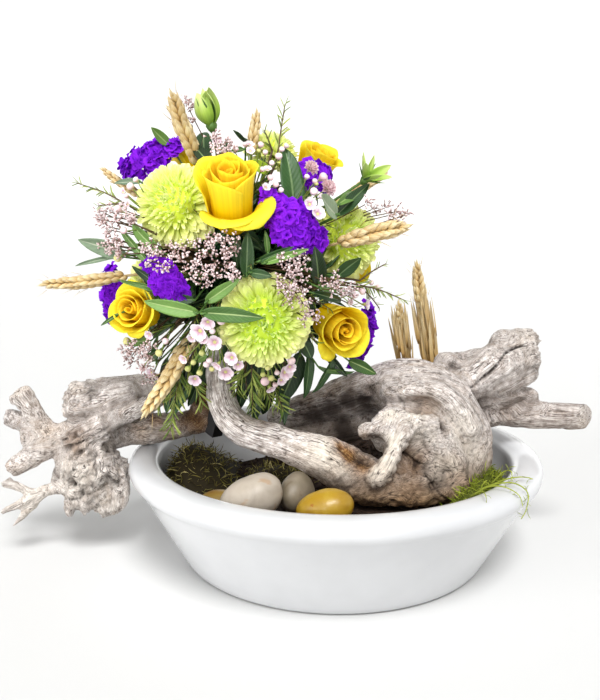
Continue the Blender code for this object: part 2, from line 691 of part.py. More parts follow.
# name: (azimuth, elevation, reach, leaves as (height, heading, length, width, rise))
LEAVES = {
    "leaves_tall": (36, 46, 0.100, ((0.096, 80, 0.046, 0.019, 62), (0.088, 200, 0.030, 0.013, 55))),
    "leaves_front": (-14, -14, 0.110, ((0.108, 170, 0.046, 0.014, 8), (0.108, 10, 0.044, 0.014, 12))),
    "leaves_left": (-72, 12, 0.104, ((0.098, 150, 0.036, 0.010, 58), (0.092, 250, 0.034, 0.010, 60))),
    "leaves_right": (60, -4, 0.100, ((0.096, 60, 0.030, 0.014, 50), (0.090, 240, 0.026, 0.012, 45))),
    "leaves_low_right": (72, -56, 0.104, ((0.098, 40, 0.040, 0.014, 35), (0.090, 230, 0.036, 0.012, 45))),
    "leaves_low_back": (-160, -35, 0.100, ((0.096, 30, 0.038, 0.014, 40), (0.088, 210, 0.034, 0.013, 45))),
}
# name: (azimuth, elevation, reach, spread angle, stalks, bud size)
WAXFLOWERS = {
    "waxflower_top": (60, 82, 0.118, 34, 5, 0.0040),
    "waxflower_top_right": (50, 30, 0.108, 40, 5, 0.0042),
    "waxflower_low": (-16, -44, 0.104, 44, 5, 0.0044),
    "waxflower_low_right": (30, -62, 0.104, 40, 5, 0.0042),
    "waxflower_left": (-66, 30, 0.112, 34, 5, 0.0038),
    "waxflower_low_left": (-130, -56, 0.106, 36, 5, 0.0038),
}
LIMONIUMS = {
    "sea_lavender_centre": (-4, 9, 0.104, 46, 6, 0.0050),
    "sea_lavender_left": (-58, 6, 0.102, 40, 5, 0.0046),
    "sea_lavender_right": (40, -8, 0.106, 38, 5, 0.0046),
    "sea_lavender_low_left": (-66, -38, 0.100, 38, 5, 0.0046),
    "sea_lavender_back": (150, 36, 0.104, 46, 6, 0.0050),
}


def facing(azimuth, elevation):
    """A rotation that turns +Z to an azimuth and elevation and keeps X level."""
    azimuth = math.radians(azimuth)
    elevation = math.radians(elevation)
    out = Vector((math.cos(elevation) * math.sin(azimuth), -math.cos(elevation) * math.cos(azimuth),
                  math.sin(elevation)))
    across = Vector((math.cos(azimuth), math.sin(azimuth), 0))
    return Matrix((across, out.cross(across), out)).transposed()


def place_in_bouquet(name, mesh, finish, azimuth, elevation, centre, stems, stem_radius):
    rotation = facing(azimuth, elevation)
    item = add_object(name, mesh, finish, centre)
    item.rotation_euler = rotation.to_euler()
    stems.append((rotation, stem_radius))


def make_heads(table, build, finish, centre, stems, stem_radius):
    for name, (azimuth, elevation, reach, size) in table.items():
        bm = bmesh.new()
        build(bm, reach, size)
        place_in_bouquet(name, finish_mesh(bm, name), finish, azimuth, elevation, centre, stems, stem_radius)


def make_bouquet_wheat(centre, stems):
    for name, (azimuth, elevation, start, length, size, aside, upward) in WHEAT.items():
        bm = bmesh.new()
        stalk = [Vector((0, 0, z)) for z in (STEM_START, 0.060, start - 0.008)]
        foot = Vector((0, 0, start))
        tip = foot + length * Vector((aside, upward, 1)).normalized()
        add_ear(bm, foot, tip, size, stalk)
        ear = finish_mesh(bm, name)
        place_in_bouquet(name, ear, straw(), azimuth, elevation, centre, stems, STALK_RADIUS)


def make_sprigs(centre, stems):
    for name, (azimuth, elevation, reach, leaves) in LEAVES.items():
        bm = bmesh.new()
        leafy_sprig(bm, reach, leaves)
        place_in_bouquet(name, fused(bm, name), green_leaf(), azimuth, elevation, centre, stems, 0.0012)
    for table, finish, stretch in ((WAXFLOWERS, pink_petal(), 1.0), (LIMONIUMS, dusty_floret(), 1.3)):
        for name, (azimuth, elevation, reach, angle, count, size) in table.items():
            bm = bmesh.new()
            budded_sprig(bm, reach, angle, count, size, stretch)
            place_in_bouquet(name, fused(bm, name), finish, azimuth, elevation, centre, stems, 0.0012)


def make_bouquet():
    centre = bpy.data.objects.new("bouquet_centre", None)
    bpy.context.scene.collection.objects.link(centre)
    centre.location = BOUQUET_CENTRE
    stems = []
    make_heads(ROSES, rose_head, yellow_petal(), centre, stems, 0.0019)
    make_heads(MUMS, mum_head, lime_petal(), centre, stems, 0.0022)
    make_heads(STATICE, statice_head, violet_petal(), centre, stems, 0.0016)
    make_heads(BUDS, bud_head, pale_bud(), centre, stems, 0.0012)
    make_bouquet_wheat(centre, stems)
    make_sprigs(centre, stems)
    make_foam(stems)


def stalk_foot(foot, start):
    """Where a standing stalk crosses the soil's surface, and its end below."""
    ground = Vector((*foot, SOIL_TOP))
    return ground, ground + (ground - Vector(start)).normalized() * STALK_DEPTH


def make_standing_wheat():
    """Two ears that stand in the soil behind the driftwood root."""
    for name, (foot, start, tip, size) in STANDING_WHEAT.items():
        bm = bmesh.new()
        ground, below = stalk_foot(foot, start)
        start = Vector(start)
        stalk = [below, ground, ground.lerp(start, 0.5), ground.lerp(start, 0.9)]
        add_ear(bm, start, Vector(tip), size, stalk)
        add_object(name, finish_mesh(bm, name), straw())


def main():
    clear_scene()
    make_bowl()
    make_soil()
    make_pebbles()
    make_mosses()
    make_bouquet()
    holder_cutter = make_holder()
    make_driftwood(holder_cutter)
    make_standing_wheat()


main()
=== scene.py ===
import math
import bpy
import numpy as np
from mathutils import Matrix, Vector


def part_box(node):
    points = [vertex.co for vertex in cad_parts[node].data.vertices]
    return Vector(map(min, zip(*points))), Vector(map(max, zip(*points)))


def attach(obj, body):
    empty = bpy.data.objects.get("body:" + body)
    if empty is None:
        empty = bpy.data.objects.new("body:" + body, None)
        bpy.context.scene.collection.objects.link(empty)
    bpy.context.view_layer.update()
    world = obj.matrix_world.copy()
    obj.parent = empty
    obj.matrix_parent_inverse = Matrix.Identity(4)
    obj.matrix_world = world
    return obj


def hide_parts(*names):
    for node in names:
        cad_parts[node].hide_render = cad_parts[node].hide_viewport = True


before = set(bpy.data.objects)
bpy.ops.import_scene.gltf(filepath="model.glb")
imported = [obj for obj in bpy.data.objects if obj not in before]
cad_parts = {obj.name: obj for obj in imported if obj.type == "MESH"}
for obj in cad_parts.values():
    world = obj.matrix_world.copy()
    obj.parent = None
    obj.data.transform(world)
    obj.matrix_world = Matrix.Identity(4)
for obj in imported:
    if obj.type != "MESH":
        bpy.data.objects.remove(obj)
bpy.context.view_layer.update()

# A white bowl with driftwood, pebbles and moss, and a ball bouquet that stands on the driftwood.
# Metres, +Z up, -Y to the front.
golden = math.radians(137.508)
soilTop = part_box("soil")[1].z
foamLow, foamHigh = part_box("foam_ball")
foamCentre = np.array((foamLow + foamHigh) / 2)
tableRows = 4096  # of random numbers for noise


# colours and nodes
def hexLinear(code):
    # an sRGB hex colour as linear RGBA
    values = [int(code[i:i + 2], 16) / 255 for i in (1, 3, 5)]
    linear = [v / 12.92 if v <= 0.04045 else ((v + 0.055) / 1.055) ** 2.4 for v in values]
    return (*linear, 1.0)


def addNode(tree, kind, values, output=0):
    # one node with its settings and with what is linked into it; gives back the output asked for
    node = tree.nodes.new("ShaderNode" + kind)
    if kind == "Mix":  # a mix of colours: input 0 is the factor, 6 and 7 are the colours
        node.data_type = "RGBA"
        output = 2
    for key, value in values.items():
        if key == "stops":
            ramp = node.color_ramp
            while len(ramp.elements) < len(value):
                ramp.elements.new(0.5)
            for element, (position, colour) in zip(ramp.elements, value):
                element.position = position
                element.color = hexLinear(colour)
        elif isinstance(value, bpy.types.NodeSocket):
            tree.links.new(value, node.inputs[key])
        elif isinstance(key, int) or key in node.inputs:
            node.inputs[key].default_value = hexLinear(value) if isinstance(value, str) else value
        else:
            setattr(node, key, value)
    return node.outputs[output]


def startMaterial(name, values):
    # a Principled material with its plain values, and addNode for its own nodes
    material = bpy.data.materials.new(name)
    material.use_nodes = True
    for key, value in values.items():
        material.node_tree.nodes["Principled BSDF"].inputs[key].default_value = value
    return material, lambda *rest: addNode(material.node_tree, *rest)


def endMaterial(material, colour, relief=None, distance=0.0, strength=1.0):
    # the shader takes its colour, and a bump so many metres deep
    tree = material.node_tree
    inputs = tree.nodes["Principled BSDF"].inputs
    tree.links.new(colour, inputs["Base Color"])
    if relief is not None:
        bump = addNode(tree, "Bump", {"Distance": distance, "Strength": strength, "Height": relief})
        tree.links.new(bump, inputs["Normal"])
    return material


def glazedStoneware():
    # tin-white glaze over stoneware, dipped and fired: a wet shine, an even white and a few tiny scuffs
    material, add = startMaterial("white_glazed_stoneware", {
        "Roughness": 0.16, "IOR": 1.5, "Coat Weight": 0.35, "Coat Roughness": 0.06})
    place = add("TexCoord", {}, "Object")
    cloud = add("TexNoise", {"Scale": 18, "Detail": 3, "Vector": place})
    tone = add("ValToRGB", {"stops": [(0.3, "#CFD0D2"), (0.7, "#D8D9DB")], "Fac": cloud})
    stretched = add("Mapping", {"Scale": (90, 90, 300), "Vector": place})
    cells = add("TexVoronoi", {"Scale": 1, "Vector": stretched})
    scuff = add("ValToRGB", {"stops": [(0.035, "#FFFFFF"), (0.06, "#000000")], "Fac": cells})
    sparse = add("TexNoise", {"Scale": 26, "Detail": 1, "Vector": place})
    where = add("ValToRGB", {"stops": [(0.62, "#000000"), (0.66, "#FFFFFF")], "Fac": sparse})
    marks = add("Math", {"operation": "MULTIPLY", 0: scuff, 1: where})
    shade = add("Mix", {0: marks, 6: tone, 7: "#A9AAAD"})
    ripple = add("TexNoise", {"Scale": 30, "Detail": 1, "Vector": place})
    return endMaterial(material, shade, ripple, 0.0006, 0.25)


def pottingSoil():
    # damp peat with bark fines: nearly black, crumbly and matt
    material, add = startMaterial("potting_soil", {"Roughness": 0.95, "Specular IOR Level": 0.2})
    place = add("TexCoord", {}, "Object")
    crumb = add("TexNoise", {"Scale": 420, "Detail": 5, "Roughness": 0.7, "Vector": place})
    stops = [(0.32, "#140E0A"), (0.55, "#2B1E16"), (0.74, "#5A4433")]
    tone = add("ValToRGB", {"stops": stops, "Fac": crumb})
    return endMaterial(material, tone, crumb, 0.0012)


def riverStone(name, stops, vein, shine):
    # a water-worn pebble: satin, softly mottled, with a stained vein and fine pits
    material, add = startMaterial(name, {"Roughness": shine, "IOR": 1.54})
    place = add("TexCoord", {}, "Object")
    cloud = add("TexNoise", {"Scale": 55, "Detail": 5, "Distortion": 0.6, "Vector": place})
    tone = add("ValToRGB", {"stops": stops, "Fac": cloud})
    stretched = add("Mapping", {"Scale": (28, 60, 40), "Rotation": (0.3, 0.5, 0.9), "Vector": place})
    streak = add("TexNoise", {"Scale": 1, "Detail": 3, "Distortion": 1.5, "Vector": stretched})
    band = add("ValToRGB", {"stops": [(0.6, "#000000"), (0.68, "#FFFFFF")], "Fac": streak})
    shade = add("Mix", {0: band, 6: tone, 7: vein})
    pits = add("TexNoise", {"Scale": 600, "Detail": 3, "Vector": place})
    return endMaterial(material, shade, pits, 0.0003, 0.5)


def weatheredWood():
    # sun-bleached driftwood: silver-lilac fibres with fine checks, brown and rusty where bark was torn off,
    # and painted shade in its hollows, cracks and creases.
    # The fibre attribute holds metres along the limb and across it; the second attribute holds cream, rust
    # and painted shade.
    material, add = startMaterial("weathered_driftwood", {"Roughness": 0.85, "Specular IOR Level": 0.3})
    fibre = add("Attribute", {"attribute_name": "fibre"}, "Vector")
    wearShadeVector = add("Attribute", {"attribute_name": "wear"}, "Vector")
    wear = add("SeparateXYZ", {"Vector": wearShadeVector}).node.outputs
    place = add("TexCoord", {}, "Object")
    # fibres are drawn 1 mm apart, coarser than real wood, so that they show
    strands = add("Mapping", {"Scale": (110, 900, 900), "Vector": fibre})
    grain = add("TexNoise", {"Scale": 1, "Detail": 4, "Roughness": 0.7, "Distortion": 0.3,
                             "Vector": strands})
    speckles = add("TexNoise", {"Scale": 190, "Detail": 4, "Roughness": 0.6, "Vector": place})
    mottle = add("MapRange", {"Value": speckles, "From Min": 0.25, "From Max": 0.75,
                              "To Min": -0.12, "To Max": 0.12})
    mixed = add("Math", {"operation": "ADD", 0: grain, 1: mottle})
    stops = [(0.28, "#6A5E57"), (0.38, "#9E938C"), (0.5, "#C6BCB6"), (0.62, "#F4EEEA")]
    silver = add("ValToRGB", {"stops": stops, "Fac": mixed})
    cloud = add("TexNoise", {"Scale": 46, "Detail": 4, "Distortion": 0.8, "Vector": place})
    vary = add("MapRange", {"Value": cloud, "From Min": 0.3, "From Max": 0.7,
                            "To Min": 0.74, "To Max": 1.1})
    shade = add("Mix", {"blend_type": "MULTIPLY", 0: 1, 6: silver, 7: vary})
    broad = add("Mapping", {"Scale": (10, 46, 46), "Vector": fibre})
    patch = add("TexNoise", {"Scale": 1, "Detail": 4, "Distortion": 0.8, "Vector": broad})
    brown = add("MapRange", {"Value": patch, "From Min": 0.5, "From Max": 0.72, "To Max": 0.36})
    shade = add("Mix", {0: brown, 6: shade, 7: "#988066"})
    # low down and left of the middle, the wood is tinted a darker tan
    height = add("SeparateXYZ", {"Vector": place}).node.outputs
    lowDown = add("MapRange", {"Value": height["Z"], "From Min": 0.076, "From Max": 0.122,
                            "To Min": 1, "To Max": 0})
    inside = add("MapRange", {"Value": height["X"], "From Min": -0.1, "From Max": -0.02})
    lowLeftShare = add("Math", {"operation": "MULTIPLY", 0: lowDown, 1: inside})
    tan = add("Mix", {"blend_type": "MULTIPLY", 0: 1, 6: shade, 7: "#A08763"})
    shade = add("Mix", {0: lowLeftShare, 6: shade, 7: tan})
    cream = add("Mix", {"blend_type": "MULTIPLY", 0: 0.6, 6: silver, 7: "#F4E8D2"})
    pale = add("Mix", {0: 0.5, 6: cream, 7: "#F4EDE0"})
    shade = add("Mix", {0: wear["X"], 6: shade, 7: pale})
    stops = [(0.32, "#3A1E0E"), (0.48, "#8A5A2A"), (0.66, "#CDA66C")]
    rusty = add("ValToRGB", {"stops": stops, "Fac": grain})
    shade = add("Mix", {0: wear["Y"], 6: shade, 7: rusty})
    # fine checks along the fibres: grooves in the bump, darkened with painted shade
    checks = add("Mapping", {"Scale": (14, 210, 210), "Vector": fibre})
    check = add("TexNoise", {"Scale": 1, "Detail": 2, "Distortion": 0.6, "Vector": checks})
    stops = [(0.48, "#000000"), (0.5, "#FFFFFF"), (0.52, "#000000")]
    line = add("ValToRGB", {"stops": stops, "Fac": check})
    some = add("MapRange", {"Value": cloud, "From Min": 0.32, "From Max": 0.5})
    lineShare = add("Math", {"operation": "MULTIPLY", 0: line, 1: some})
    shade = add("Mix", {0: lineShare, 6: shade, 7: "#3E322B"})
    # painted shade: hollows, gaps, cracks, creases and checks darkened nearly to black
    shade = add("Mix", {0: wear["Z"], 6: shade, 7: "#20150F"})
    relief = add("Math", {"operation": "SUBTRACT", 0: mixed, 1: lineShare})
    return endMaterial(material, shade, relief, 0.0007, 0.7)


def mossMaterial(name, stops):
    # dried and living moss threads; each thread has its own tint, and its tip is lighter
    material, add = startMaterial(name, {"Roughness": 0.8, "Specular IOR Level": 0.25})
    drawn = add("Attribute", {"attribute_name": "blade"}, "Vector")
    blade = add("SeparateXYZ", {"Vector": drawn}).node.outputs
    tone = add("ValToRGB", {"stops": stops, "Fac": blade["Z"]})
    lift = add("MapRange", {"Value": blade["X"], "To Min": 0.55, "To Max": 1.25})
    return endMaterial(material, add("Mix", {"blend_type": "MULTIPLY", 0: 1, 6: tone, 7: lift}))


def petalMaterial(name, foot, middle, rim, deep, finish):
    # a living petal: satin and faintly see-through, deeper at its foot, with veins along it.
    # blade holds how far along the petal, how far across it and the petal's own tint.
    material, add = startMaterial(name, {
        "Roughness": finish["roughness"], "Specular IOR Level": finish["shine"], "IOR": 1.4,
        "Sheen Weight": finish["sheen"], "Sheen Roughness": 0.5})
    drawn = add("Attribute", {"attribute_name": "blade"}, "Vector")
    blade = add("SeparateXYZ", {"Vector": drawn}).node.outputs
    stops = [(0.0, foot), (0.5, middle), (0.95, rim)]
    tone = add("ValToRGB", {"stops": stops, "Fac": blade["X"]})
    tintShare = add("Math", {"operation": "MULTIPLY", 0: blade["Z"], 1: finish["depth"]})
    shade = add("Mix", {0: tintShare, 6: tone, 7: deep})
    fan = add("CombineXYZ", {"X": blade["Y"], "Y": blade["Z"]})
    veins = add("Mapping", {"Scale": (finish["veins"], 40, 1), "Vector": fan})
    vein = add("TexNoise", {"Scale": 1, "Vector": veins})
    vary = add("MapRange", {"Value": vein, "From Min": 0.3, "From Max": 0.7,
                            "To Min": 0.9, "To Max": 1.06})
    shade = add("Mix", {"blend_type": "MULTIPLY", 0: 1, 6: shade, 7: vary})
    endMaterial(material, shade, vein, finish["relief"], 0.6)
    nodes = material.node_tree.nodes
    glow = add("BsdfTranslucent", {"Color": shade})
    satin = nodes["Principled BSDF"].outputs[0]
    both = add("MixShader", {0: finish["glow"], 1: satin, 2: glow})
    material.node_tree.links.new(both, nodes["Material Output"].inputs["Surface"])
    return material


def leafMaterial(name, upper, light, vein, finish):
    # a leathery leaf: waxy green with a pale midrib, side veins and a lighter tone at random
    material, add = startMaterial(name, {
        "Roughness": finish["roughness"], "Specular IOR Level": 0.5, "IOR": 1.45})
    drawn = add("Attribute", {"attribute_name": "blade"}, "Vector")
    blade = add("SeparateXYZ", {"Vector": drawn}).node.outputs
    tone = add("ValToRGB", {"stops": [(0.1, upper), (0.9, light)], "Fac": blade["Z"]})
    side = add("Math", {"operation": "ABSOLUTE", 0: blade["Y"]})
    rib = add("MapRange", {"Value": side, "From Min": 0.03, "From Max": 0.13, "To Min": 0.75, "To Max": 0})
    shade = add("Mix", {0: rib, 6: tone, 7: vein})
    slant = add("Math", {"operation": "MULTIPLY_ADD", 0: side, 1: -0.22, 2: blade["X"]})
    ribs = add("Math", {"operation": "MULTIPLY", 0: slant, 1: finish["ribs"]})
    wave = add("Math", {"operation": "SINE", 0: ribs})
    band = add("MapRange", {"Value": wave, "From Min": 0.75, "To Max": 0.1})
    shade = add("Mix", {0: band, 6: shade, 7: vein})
    place = add("TexCoord", {}, "Object")
    mottle = add("TexNoise", {"Scale": 300, "Detail": 3, "Vector": place})
    vary = add("MapRange", {"Value": mottle, "To Min": 0.78, "To Max": 1.2})
    shade = add("Mix", {"blend_type": "MULTIPLY", 0: 1, 6: shade, 7: vary})
    return endMaterial(material, shade, wave, 0.00012, 0.3)


def strawMaterial():
    # ripe dry wheat: pale gold husks with fine ribs along them, browner at the foot
    material, add = startMaterial("ripe_wheat_straw", {"Roughness": 0.6, "Specular IOR Level": 0.35})
    drawn = add("Attribute", {"attribute_name": "blade"}, "Vector")
    blade = add("SeparateXYZ", {"Vector": drawn}).node.outputs
    stops = [(0.0, "#A87C42"), (0.3, "#DDBE82"), (0.75, "#F3E3B8"), (1.0, "#DCC48E")]
    tone = add("ValToRGB", {"stops": stops, "Fac": blade["X"]})
    tintShare = add("Math", {"operation": "MULTIPLY", 0: blade["Z"], 1: 0.6})
    shade = add("Mix", {0: tintShare, 6: tone, 7: "#BE9350"})
    ribs = add("Math", {"operation": "MULTIPLY", 0: blade["Y"], 1: 38})
    wave = add("Math", {"operation": "SINE", 0: ribs})
    vary = add("MapRange", {"Value": wave, "From Min": -1, "To Min": 0.82, "To Max": 1.05})
    shade = add("Mix", {"blend_type": "MULTIPLY", 0: 1, 6: shade, 7: vary})
    return endMaterial(material, shade, wave, 0.0001, 0.6)


def mouldedPlastic():
    # injection-moulded black polypropylene: satin with a fine grain
    material, add = startMaterial("moulded_black_plastic", {"Roughness": 0.42, "IOR": 1.49})
    place = add("TexCoord", {}, "Object")
    grain = add("TexNoise", {"Scale": 900, "Vector": place})
    tone = add("ValToRGB", {"stops": [(0.3, "#0E0E0F"), (0.7, "#1B1B1D")], "Fac": grain})
    return endMaterial(material, tone, grain, 0.0001, 0.4)


def floralFoam():
    # wet phenolic foam: dark bottle green, open and crumbly
    material, add = startMaterial("floral_foam", {"Roughness": 0.97, "Specular IOR Level": 0.1})
    place = add("TexCoord", {}, "Object")
    cells = add("TexVoronoi", {"Scale": 700, "Vector": place})
    tone = add("ValToRGB", {"stops": [(0.0, "#0C2412"), (0.6, "#24492C")], "Fac": cells})
    return endMaterial(material, tone, cells, 0.0006)


silk = {"roughness": 0.45, "shine": 0.35, "sheen": 0.1, "depth": 0.55, "veins": 14, "relief": 0.0001,
        "glow": 0.12}
papery = {**silk, "roughness": 0.7, "shine": 0.2, "sheen": 0.2, "depth": 0.5, "veins": 9}
waxy = {"roughness": 0.42, "ribs": 75.0}
matt = {"roughness": 0.6, "ribs": 50.0}
finishes = {
    "glaze": glazedStoneware(),
    "soil": pottingSoil(),
    "wood": weatheredWood(),
    "plastic": mouldedPlastic(),
    "foam": floralFoam(),
    "straw": strawMaterial(),
    "darkMoss": mossMaterial("dry_feather_moss", [(0.0, "#1E180A"), (0.3, "#584A22"), (0.7, "#86803A"),
                                                  (1.0, "#DACB8C")]),
    "brightMoss": mossMaterial("fresh_sphagnum_moss", [(0.0, "#50580F"), (0.5, "#869426"), (1.0, "#C6CE54")]),
}
# each petal: its colour at the foot, in the middle, at the rim and where it is deepest, and its finish
for name, title, *tones, finish in (
        ("rose", "yellow_rose_petal", "#FFCC00", "#FFE60A", "#FFF44C", "#FFCA00",
         {**silk, "shine": 0.15, "sheen": 0.0, "glow": 0.45}),
        ("mum", "lime_chrysanthemum_petal", "#D2E82E", "#E9F55E", "#FFFFBE", "#AEE21A",
         {**papery, "glow": 0.2}),
        ("statice", "violet_statice_calyx", "#420092", "#5E00AE", "#8A22DA", "#4A009E",
         {**papery, "sheen": 0.0, "shine": 0.1}),
        ("wax", "pink_waxflower_petal", "#C98AA4", "#F0DEE6", "#FCF6F8", "#E4C4D2", silk),
        ("lavender", "sea_lavender_floret", "#553628", "#C49C98", "#FBE8E8", "#7E564E", papery),
        ("pinkBud", "pink_waxflower_bud", "#9FA860", "#E8C6CC", "#FBEAEC", "#D8A6AC", silk),
        ("greenBud", "green_waxflower_bud", "#6F8A30", "#B4C060", "#E2DC96", "#8FA040", silk),
        ("bud", "green_bud_petal", "#6E9A2A", "#B5D35A", "#DCE99A", "#8FBF3C", silk)):
    finishes[name] = petalMaterial(title, *tones, finish)
# each leaf: its upper side, its lighter tone and its veins, and its finish
for name, title, *tones, finish in (
        ("leaf", "waxy_green_leaf", "#132814", "#305226", "#768E60", waxy),
        ("midLeaf", "grassy_green_leaf", "#2C501E", "#678B40", "#A8BC7C", waxy),
        ("youngLeaf", "yellow_green_leaf", "#7E9C14", "#B0C43A", "#CEDB74", waxy),
        ("paleLeaf", "blue_green_leaf", "#576E56", "#849678", "#BAC0A8", matt),
        ("stem", "green_stem", "#2E5326", "#5C8038", "#7FA050", matt),
        ("twig", "brown_twig", "#3A2A1C", "#6B5236", "#8A6E4C", matt),
        ("needle", "needle_leaf", "#5C7A2A", "#B4C060", "#C8CE7A", matt)):
    finishes[name] = leafMaterial(title, *tones, finish)
# each pebble: its darkest, middle and lightest colour, its veins and its roughness
for name, *tones, vein, shine in (
        ("white", "#988E80", "#A99E90", "#B5AC9F", "#A48D75", 0.5),
        ("grey", "#6B614E", "#7E7362", "#8D8374", "#6D5F4C", 0.5),
        ("amber", "#977013", "#AA8824", "#B69A3C", "#924C09", 0.35),
        ("orange", "#6E4C19", "#80672B", "#8A7846", "#6E3F17", 0.4)):
    stops = list(zip((0.3, 0.55, 0.75), tones))
    finishes[name + "Stone"] = riverStone(name + "_river_stone", stops, vein, shine)
print("materials", len(finishes))


# small tools for points and places
def metres(lengths):
    # lengths given in millimetres, alone or in rows and dictionaries; words among them stay as they are
    if isinstance(lengths, dict):
        return {name: metres(rows) for name, rows in lengths.items()}
    if isinstance(lengths, (list, tuple)):
        return [metres(row) for row in lengths]
    return lengths if isinstance(lengths, str) else round(lengths / 1000, 7)


def unit(vectors):
    lengths = np.linalg.norm(vectors, axis=-1, keepdims=True)
    return vectors / np.maximum(lengths, 1e-12)


def standing(origins, directions, faces, scales, turns=0.0):
    # places for copies: Z along each direction and X as near as may be to the face, then turned about Z
    origins, directions, faces = (np.atleast_2d(np.asarray(v, float)) for v in (origins, directions, faces))
    count = max(len(origins), len(directions))
    z = unit(np.broadcast_to(directions, (count, 3)))
    faces = np.broadcast_to(faces, (count, 3))
    x = unit(faces - (faces * z).sum(1, keepdims=True) * z)
    y = np.cross(z, x)
    turns = np.broadcast_to(turns, count)[:, None]
    scales = np.broadcast_to(np.asarray(scales, float).reshape(-1, 1), (count, 1))
    places = np.zeros((count, 4, 4))
    places[:, :3, 0] = (x * np.cos(turns) + y * np.sin(turns)) * scales
    places[:, :3, 1] = (y * np.cos(turns) - x * np.sin(turns)) * scales
    places[:, :3, 2] = z * scales
    places[:, :3, 3] = origins
    places[:, 3, 3] = 1
    return places


def facing(azimuth, elevation):
    # columns across, up and out, for an azimuth from the front towards +X and an elevation, in degrees
    a, e = math.radians(azimuth), math.radians(elevation)
    out = np.array((math.cos(e) * math.sin(a), -math.cos(e) * math.cos(a), math.sin(e)))
    across = np.array((math.cos(a), math.sin(a), 0))
    return np.column_stack((across, np.cross(out, across), out))


def whole(matrix, origin):
    # a 3 by 3 turn and an origin as the place of one copy
    places = np.eye(4)[None]
    places[0, :3, :3] = matrix
    places[0, :3, 3] = origin
    return places


def around(angle, lean):
    # directions that lean away from Z by an angle, towards a heading
    return np.column_stack((np.sin(lean) * np.cos(angle), np.sin(lean) * np.sin(angle), np.cos(lean)))


def ease(share):
    # a soft step from 0 to 1
    share = np.clip(share, 0, 1)
    return share * share * (3 - 2 * share)


def cellRows(cells):
    # a row of the noise table for each cell of a grid
    keys = (cells * (73856093, 19349663, 83492791)).sum(1)
    return (keys ^ (keys >> 13)) % tableRows


def softNoise(points, sizes, seed):
    # smooth noise from -1 to 1; sizes is how large its lumps are, on all axes or on each
    table = np.random.default_rng(seed).uniform(-1, 1, tableRows)
    scaled = np.asarray(points, float) / np.asarray(sizes, float)
    cell = np.floor(scaled).astype(np.int64)
    part = ease(scaled - cell)
    total = np.zeros(len(scaled))
    for corner in np.ndindex(2, 2, 2):
        corner = np.array(corner)
        share = np.where(corner == 1, part, 1 - part).prod(1)
        total += share * table[cellRows(cell + corner)]
    return total


def alongSegment(points, start, end):
    # how far along a segment each point is, from 0 to 1, and its offset from the segment
    span = end - start
    along = np.clip(((points - start) @ span) / max(span @ span, 1e-12), 0, 1)
    return along, points - (start + along[:, None] * span)


def smoothPath(points, steps):
    # a smooth path of so many steps a span through the given points; extra columns go with it
    points = np.asarray(points, float)
    padded = np.vstack((2 * points[0] - points[1], points, 2 * points[-1] - points[-2]))
    path = []
    for before, start, end, after in zip(padded, padded[1:], padded[2:], padded[3:]):
        for t in np.arange(steps) / steps:
            path.append(0.5 * (2 * start + (end - before) * t
                               + (2 * before - 5 * start + 4 * end - after) * t ** 2
                               + (3 * start - before - 3 * end + after) * t ** 3))
    path.append(points[-1])
    return np.array(path)


def pathLengths(path):
    # how far along the path each of its points is
    return np.concatenate(([0], np.cumsum(np.linalg.norm(np.diff(path, axis=0), axis=1))))


def pathFrames(path):
    # directions and sides along a path, with little twist
    ahead = unit(np.gradient(path, axis=0))
    sides = np.zeros_like(path)
    side = np.cross(ahead[0], (0, 0, 1))
    if np.linalg.norm(side) < 0.1:
        side = np.array((1.0, 0, 0))
    for index, direction in enumerate(ahead):
        side = side - direction * side.dot(direction)
        side = side / np.linalg.norm(side)
        sides[index] = side
    return ahead, sides


# from Blender objects to copies and pieces
def startNew(item=None):
    # object mode with nothing selected, or with one object selected and active
    if bpy.context.object and bpy.context.object.mode != "OBJECT":
        bpy.ops.object.mode_set(mode="OBJECT")
    bpy.ops.object.select_all(action="DESELECT")
    if item:
        bpy.context.view_layer.objects.active = item
        item.select_set(True)


def newItem(name, data):
    item = bpy.data.objects.new(name, data)
    bpy.context.scene.collection.objects.link(item)
    return item


def pointsOf(item):
    points = np.empty(len(item.data.vertices) * 3)
    item.data.vertices.foreach_get("co", points)
    return points.reshape(-1, 3)


def setPoints(item, points):
    item.data.vertices.foreach_set("co", np.asarray(points, np.float32).ravel())
    item.data.update()


def setVectors(item, name, values):
    # a vector attribute on the points
    layer = item.data.attributes.get(name) or item.data.attributes.new(name, "FLOAT_VECTOR", "POINT")
    layer.data.foreach_set("vector", np.asarray(values, np.float32).ravel())


def editAll(*steps):
    # edit-mode operators on the whole active mesh, each as (operator, settings)
    bpy.ops.object.mode_set(mode="EDIT")
    bpy.ops.mesh.select_all(action="SELECT")
    for operator, settings in steps:
        operator(**settings)
    bpy.ops.object.mode_set(mode="OBJECT")


def applyModifier(item, kind, settings):
    startNew(item)
    modifier = item.modifiers.new(kind.lower(), kind)
    for key, value in settings.items():
        setattr(modifier, key, value)
    bpy.ops.object.modifier_apply(modifier=modifier.name)


def takeShape(item):
    # an object's mesh as arrays for copying, after which the object is gone
    mesh = item.data
    corners = np.empty(len(mesh.loops), np.int64)
    mesh.loops.foreach_get("vertex_index", corners)
    starts = np.empty(len(mesh.polygons), np.int64)
    mesh.polygons.foreach_get("loop_start", starts)
    blade = np.zeros(len(mesh.vertices) * 3)
    if "blade" in mesh.attributes:
        mesh.attributes["blade"].data.foreach_get("vector", blade)
    shape = {"points": pointsOf(item), "corners": corners, "starts": starts, "blade": blade.reshape(-1, 3)}
    bpy.data.objects.remove(item)
    return shape


def finishPiece(item, names, nodes):
    # the last steps of every piece: its finishes, its body and hiding the CAD nodes it stands for
    for name in names:
        item.data.materials.append(finishes[name])
    item.data.shade_smooth()
    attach(item, "root")
    if nodes:
        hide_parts(*nodes)
    return item


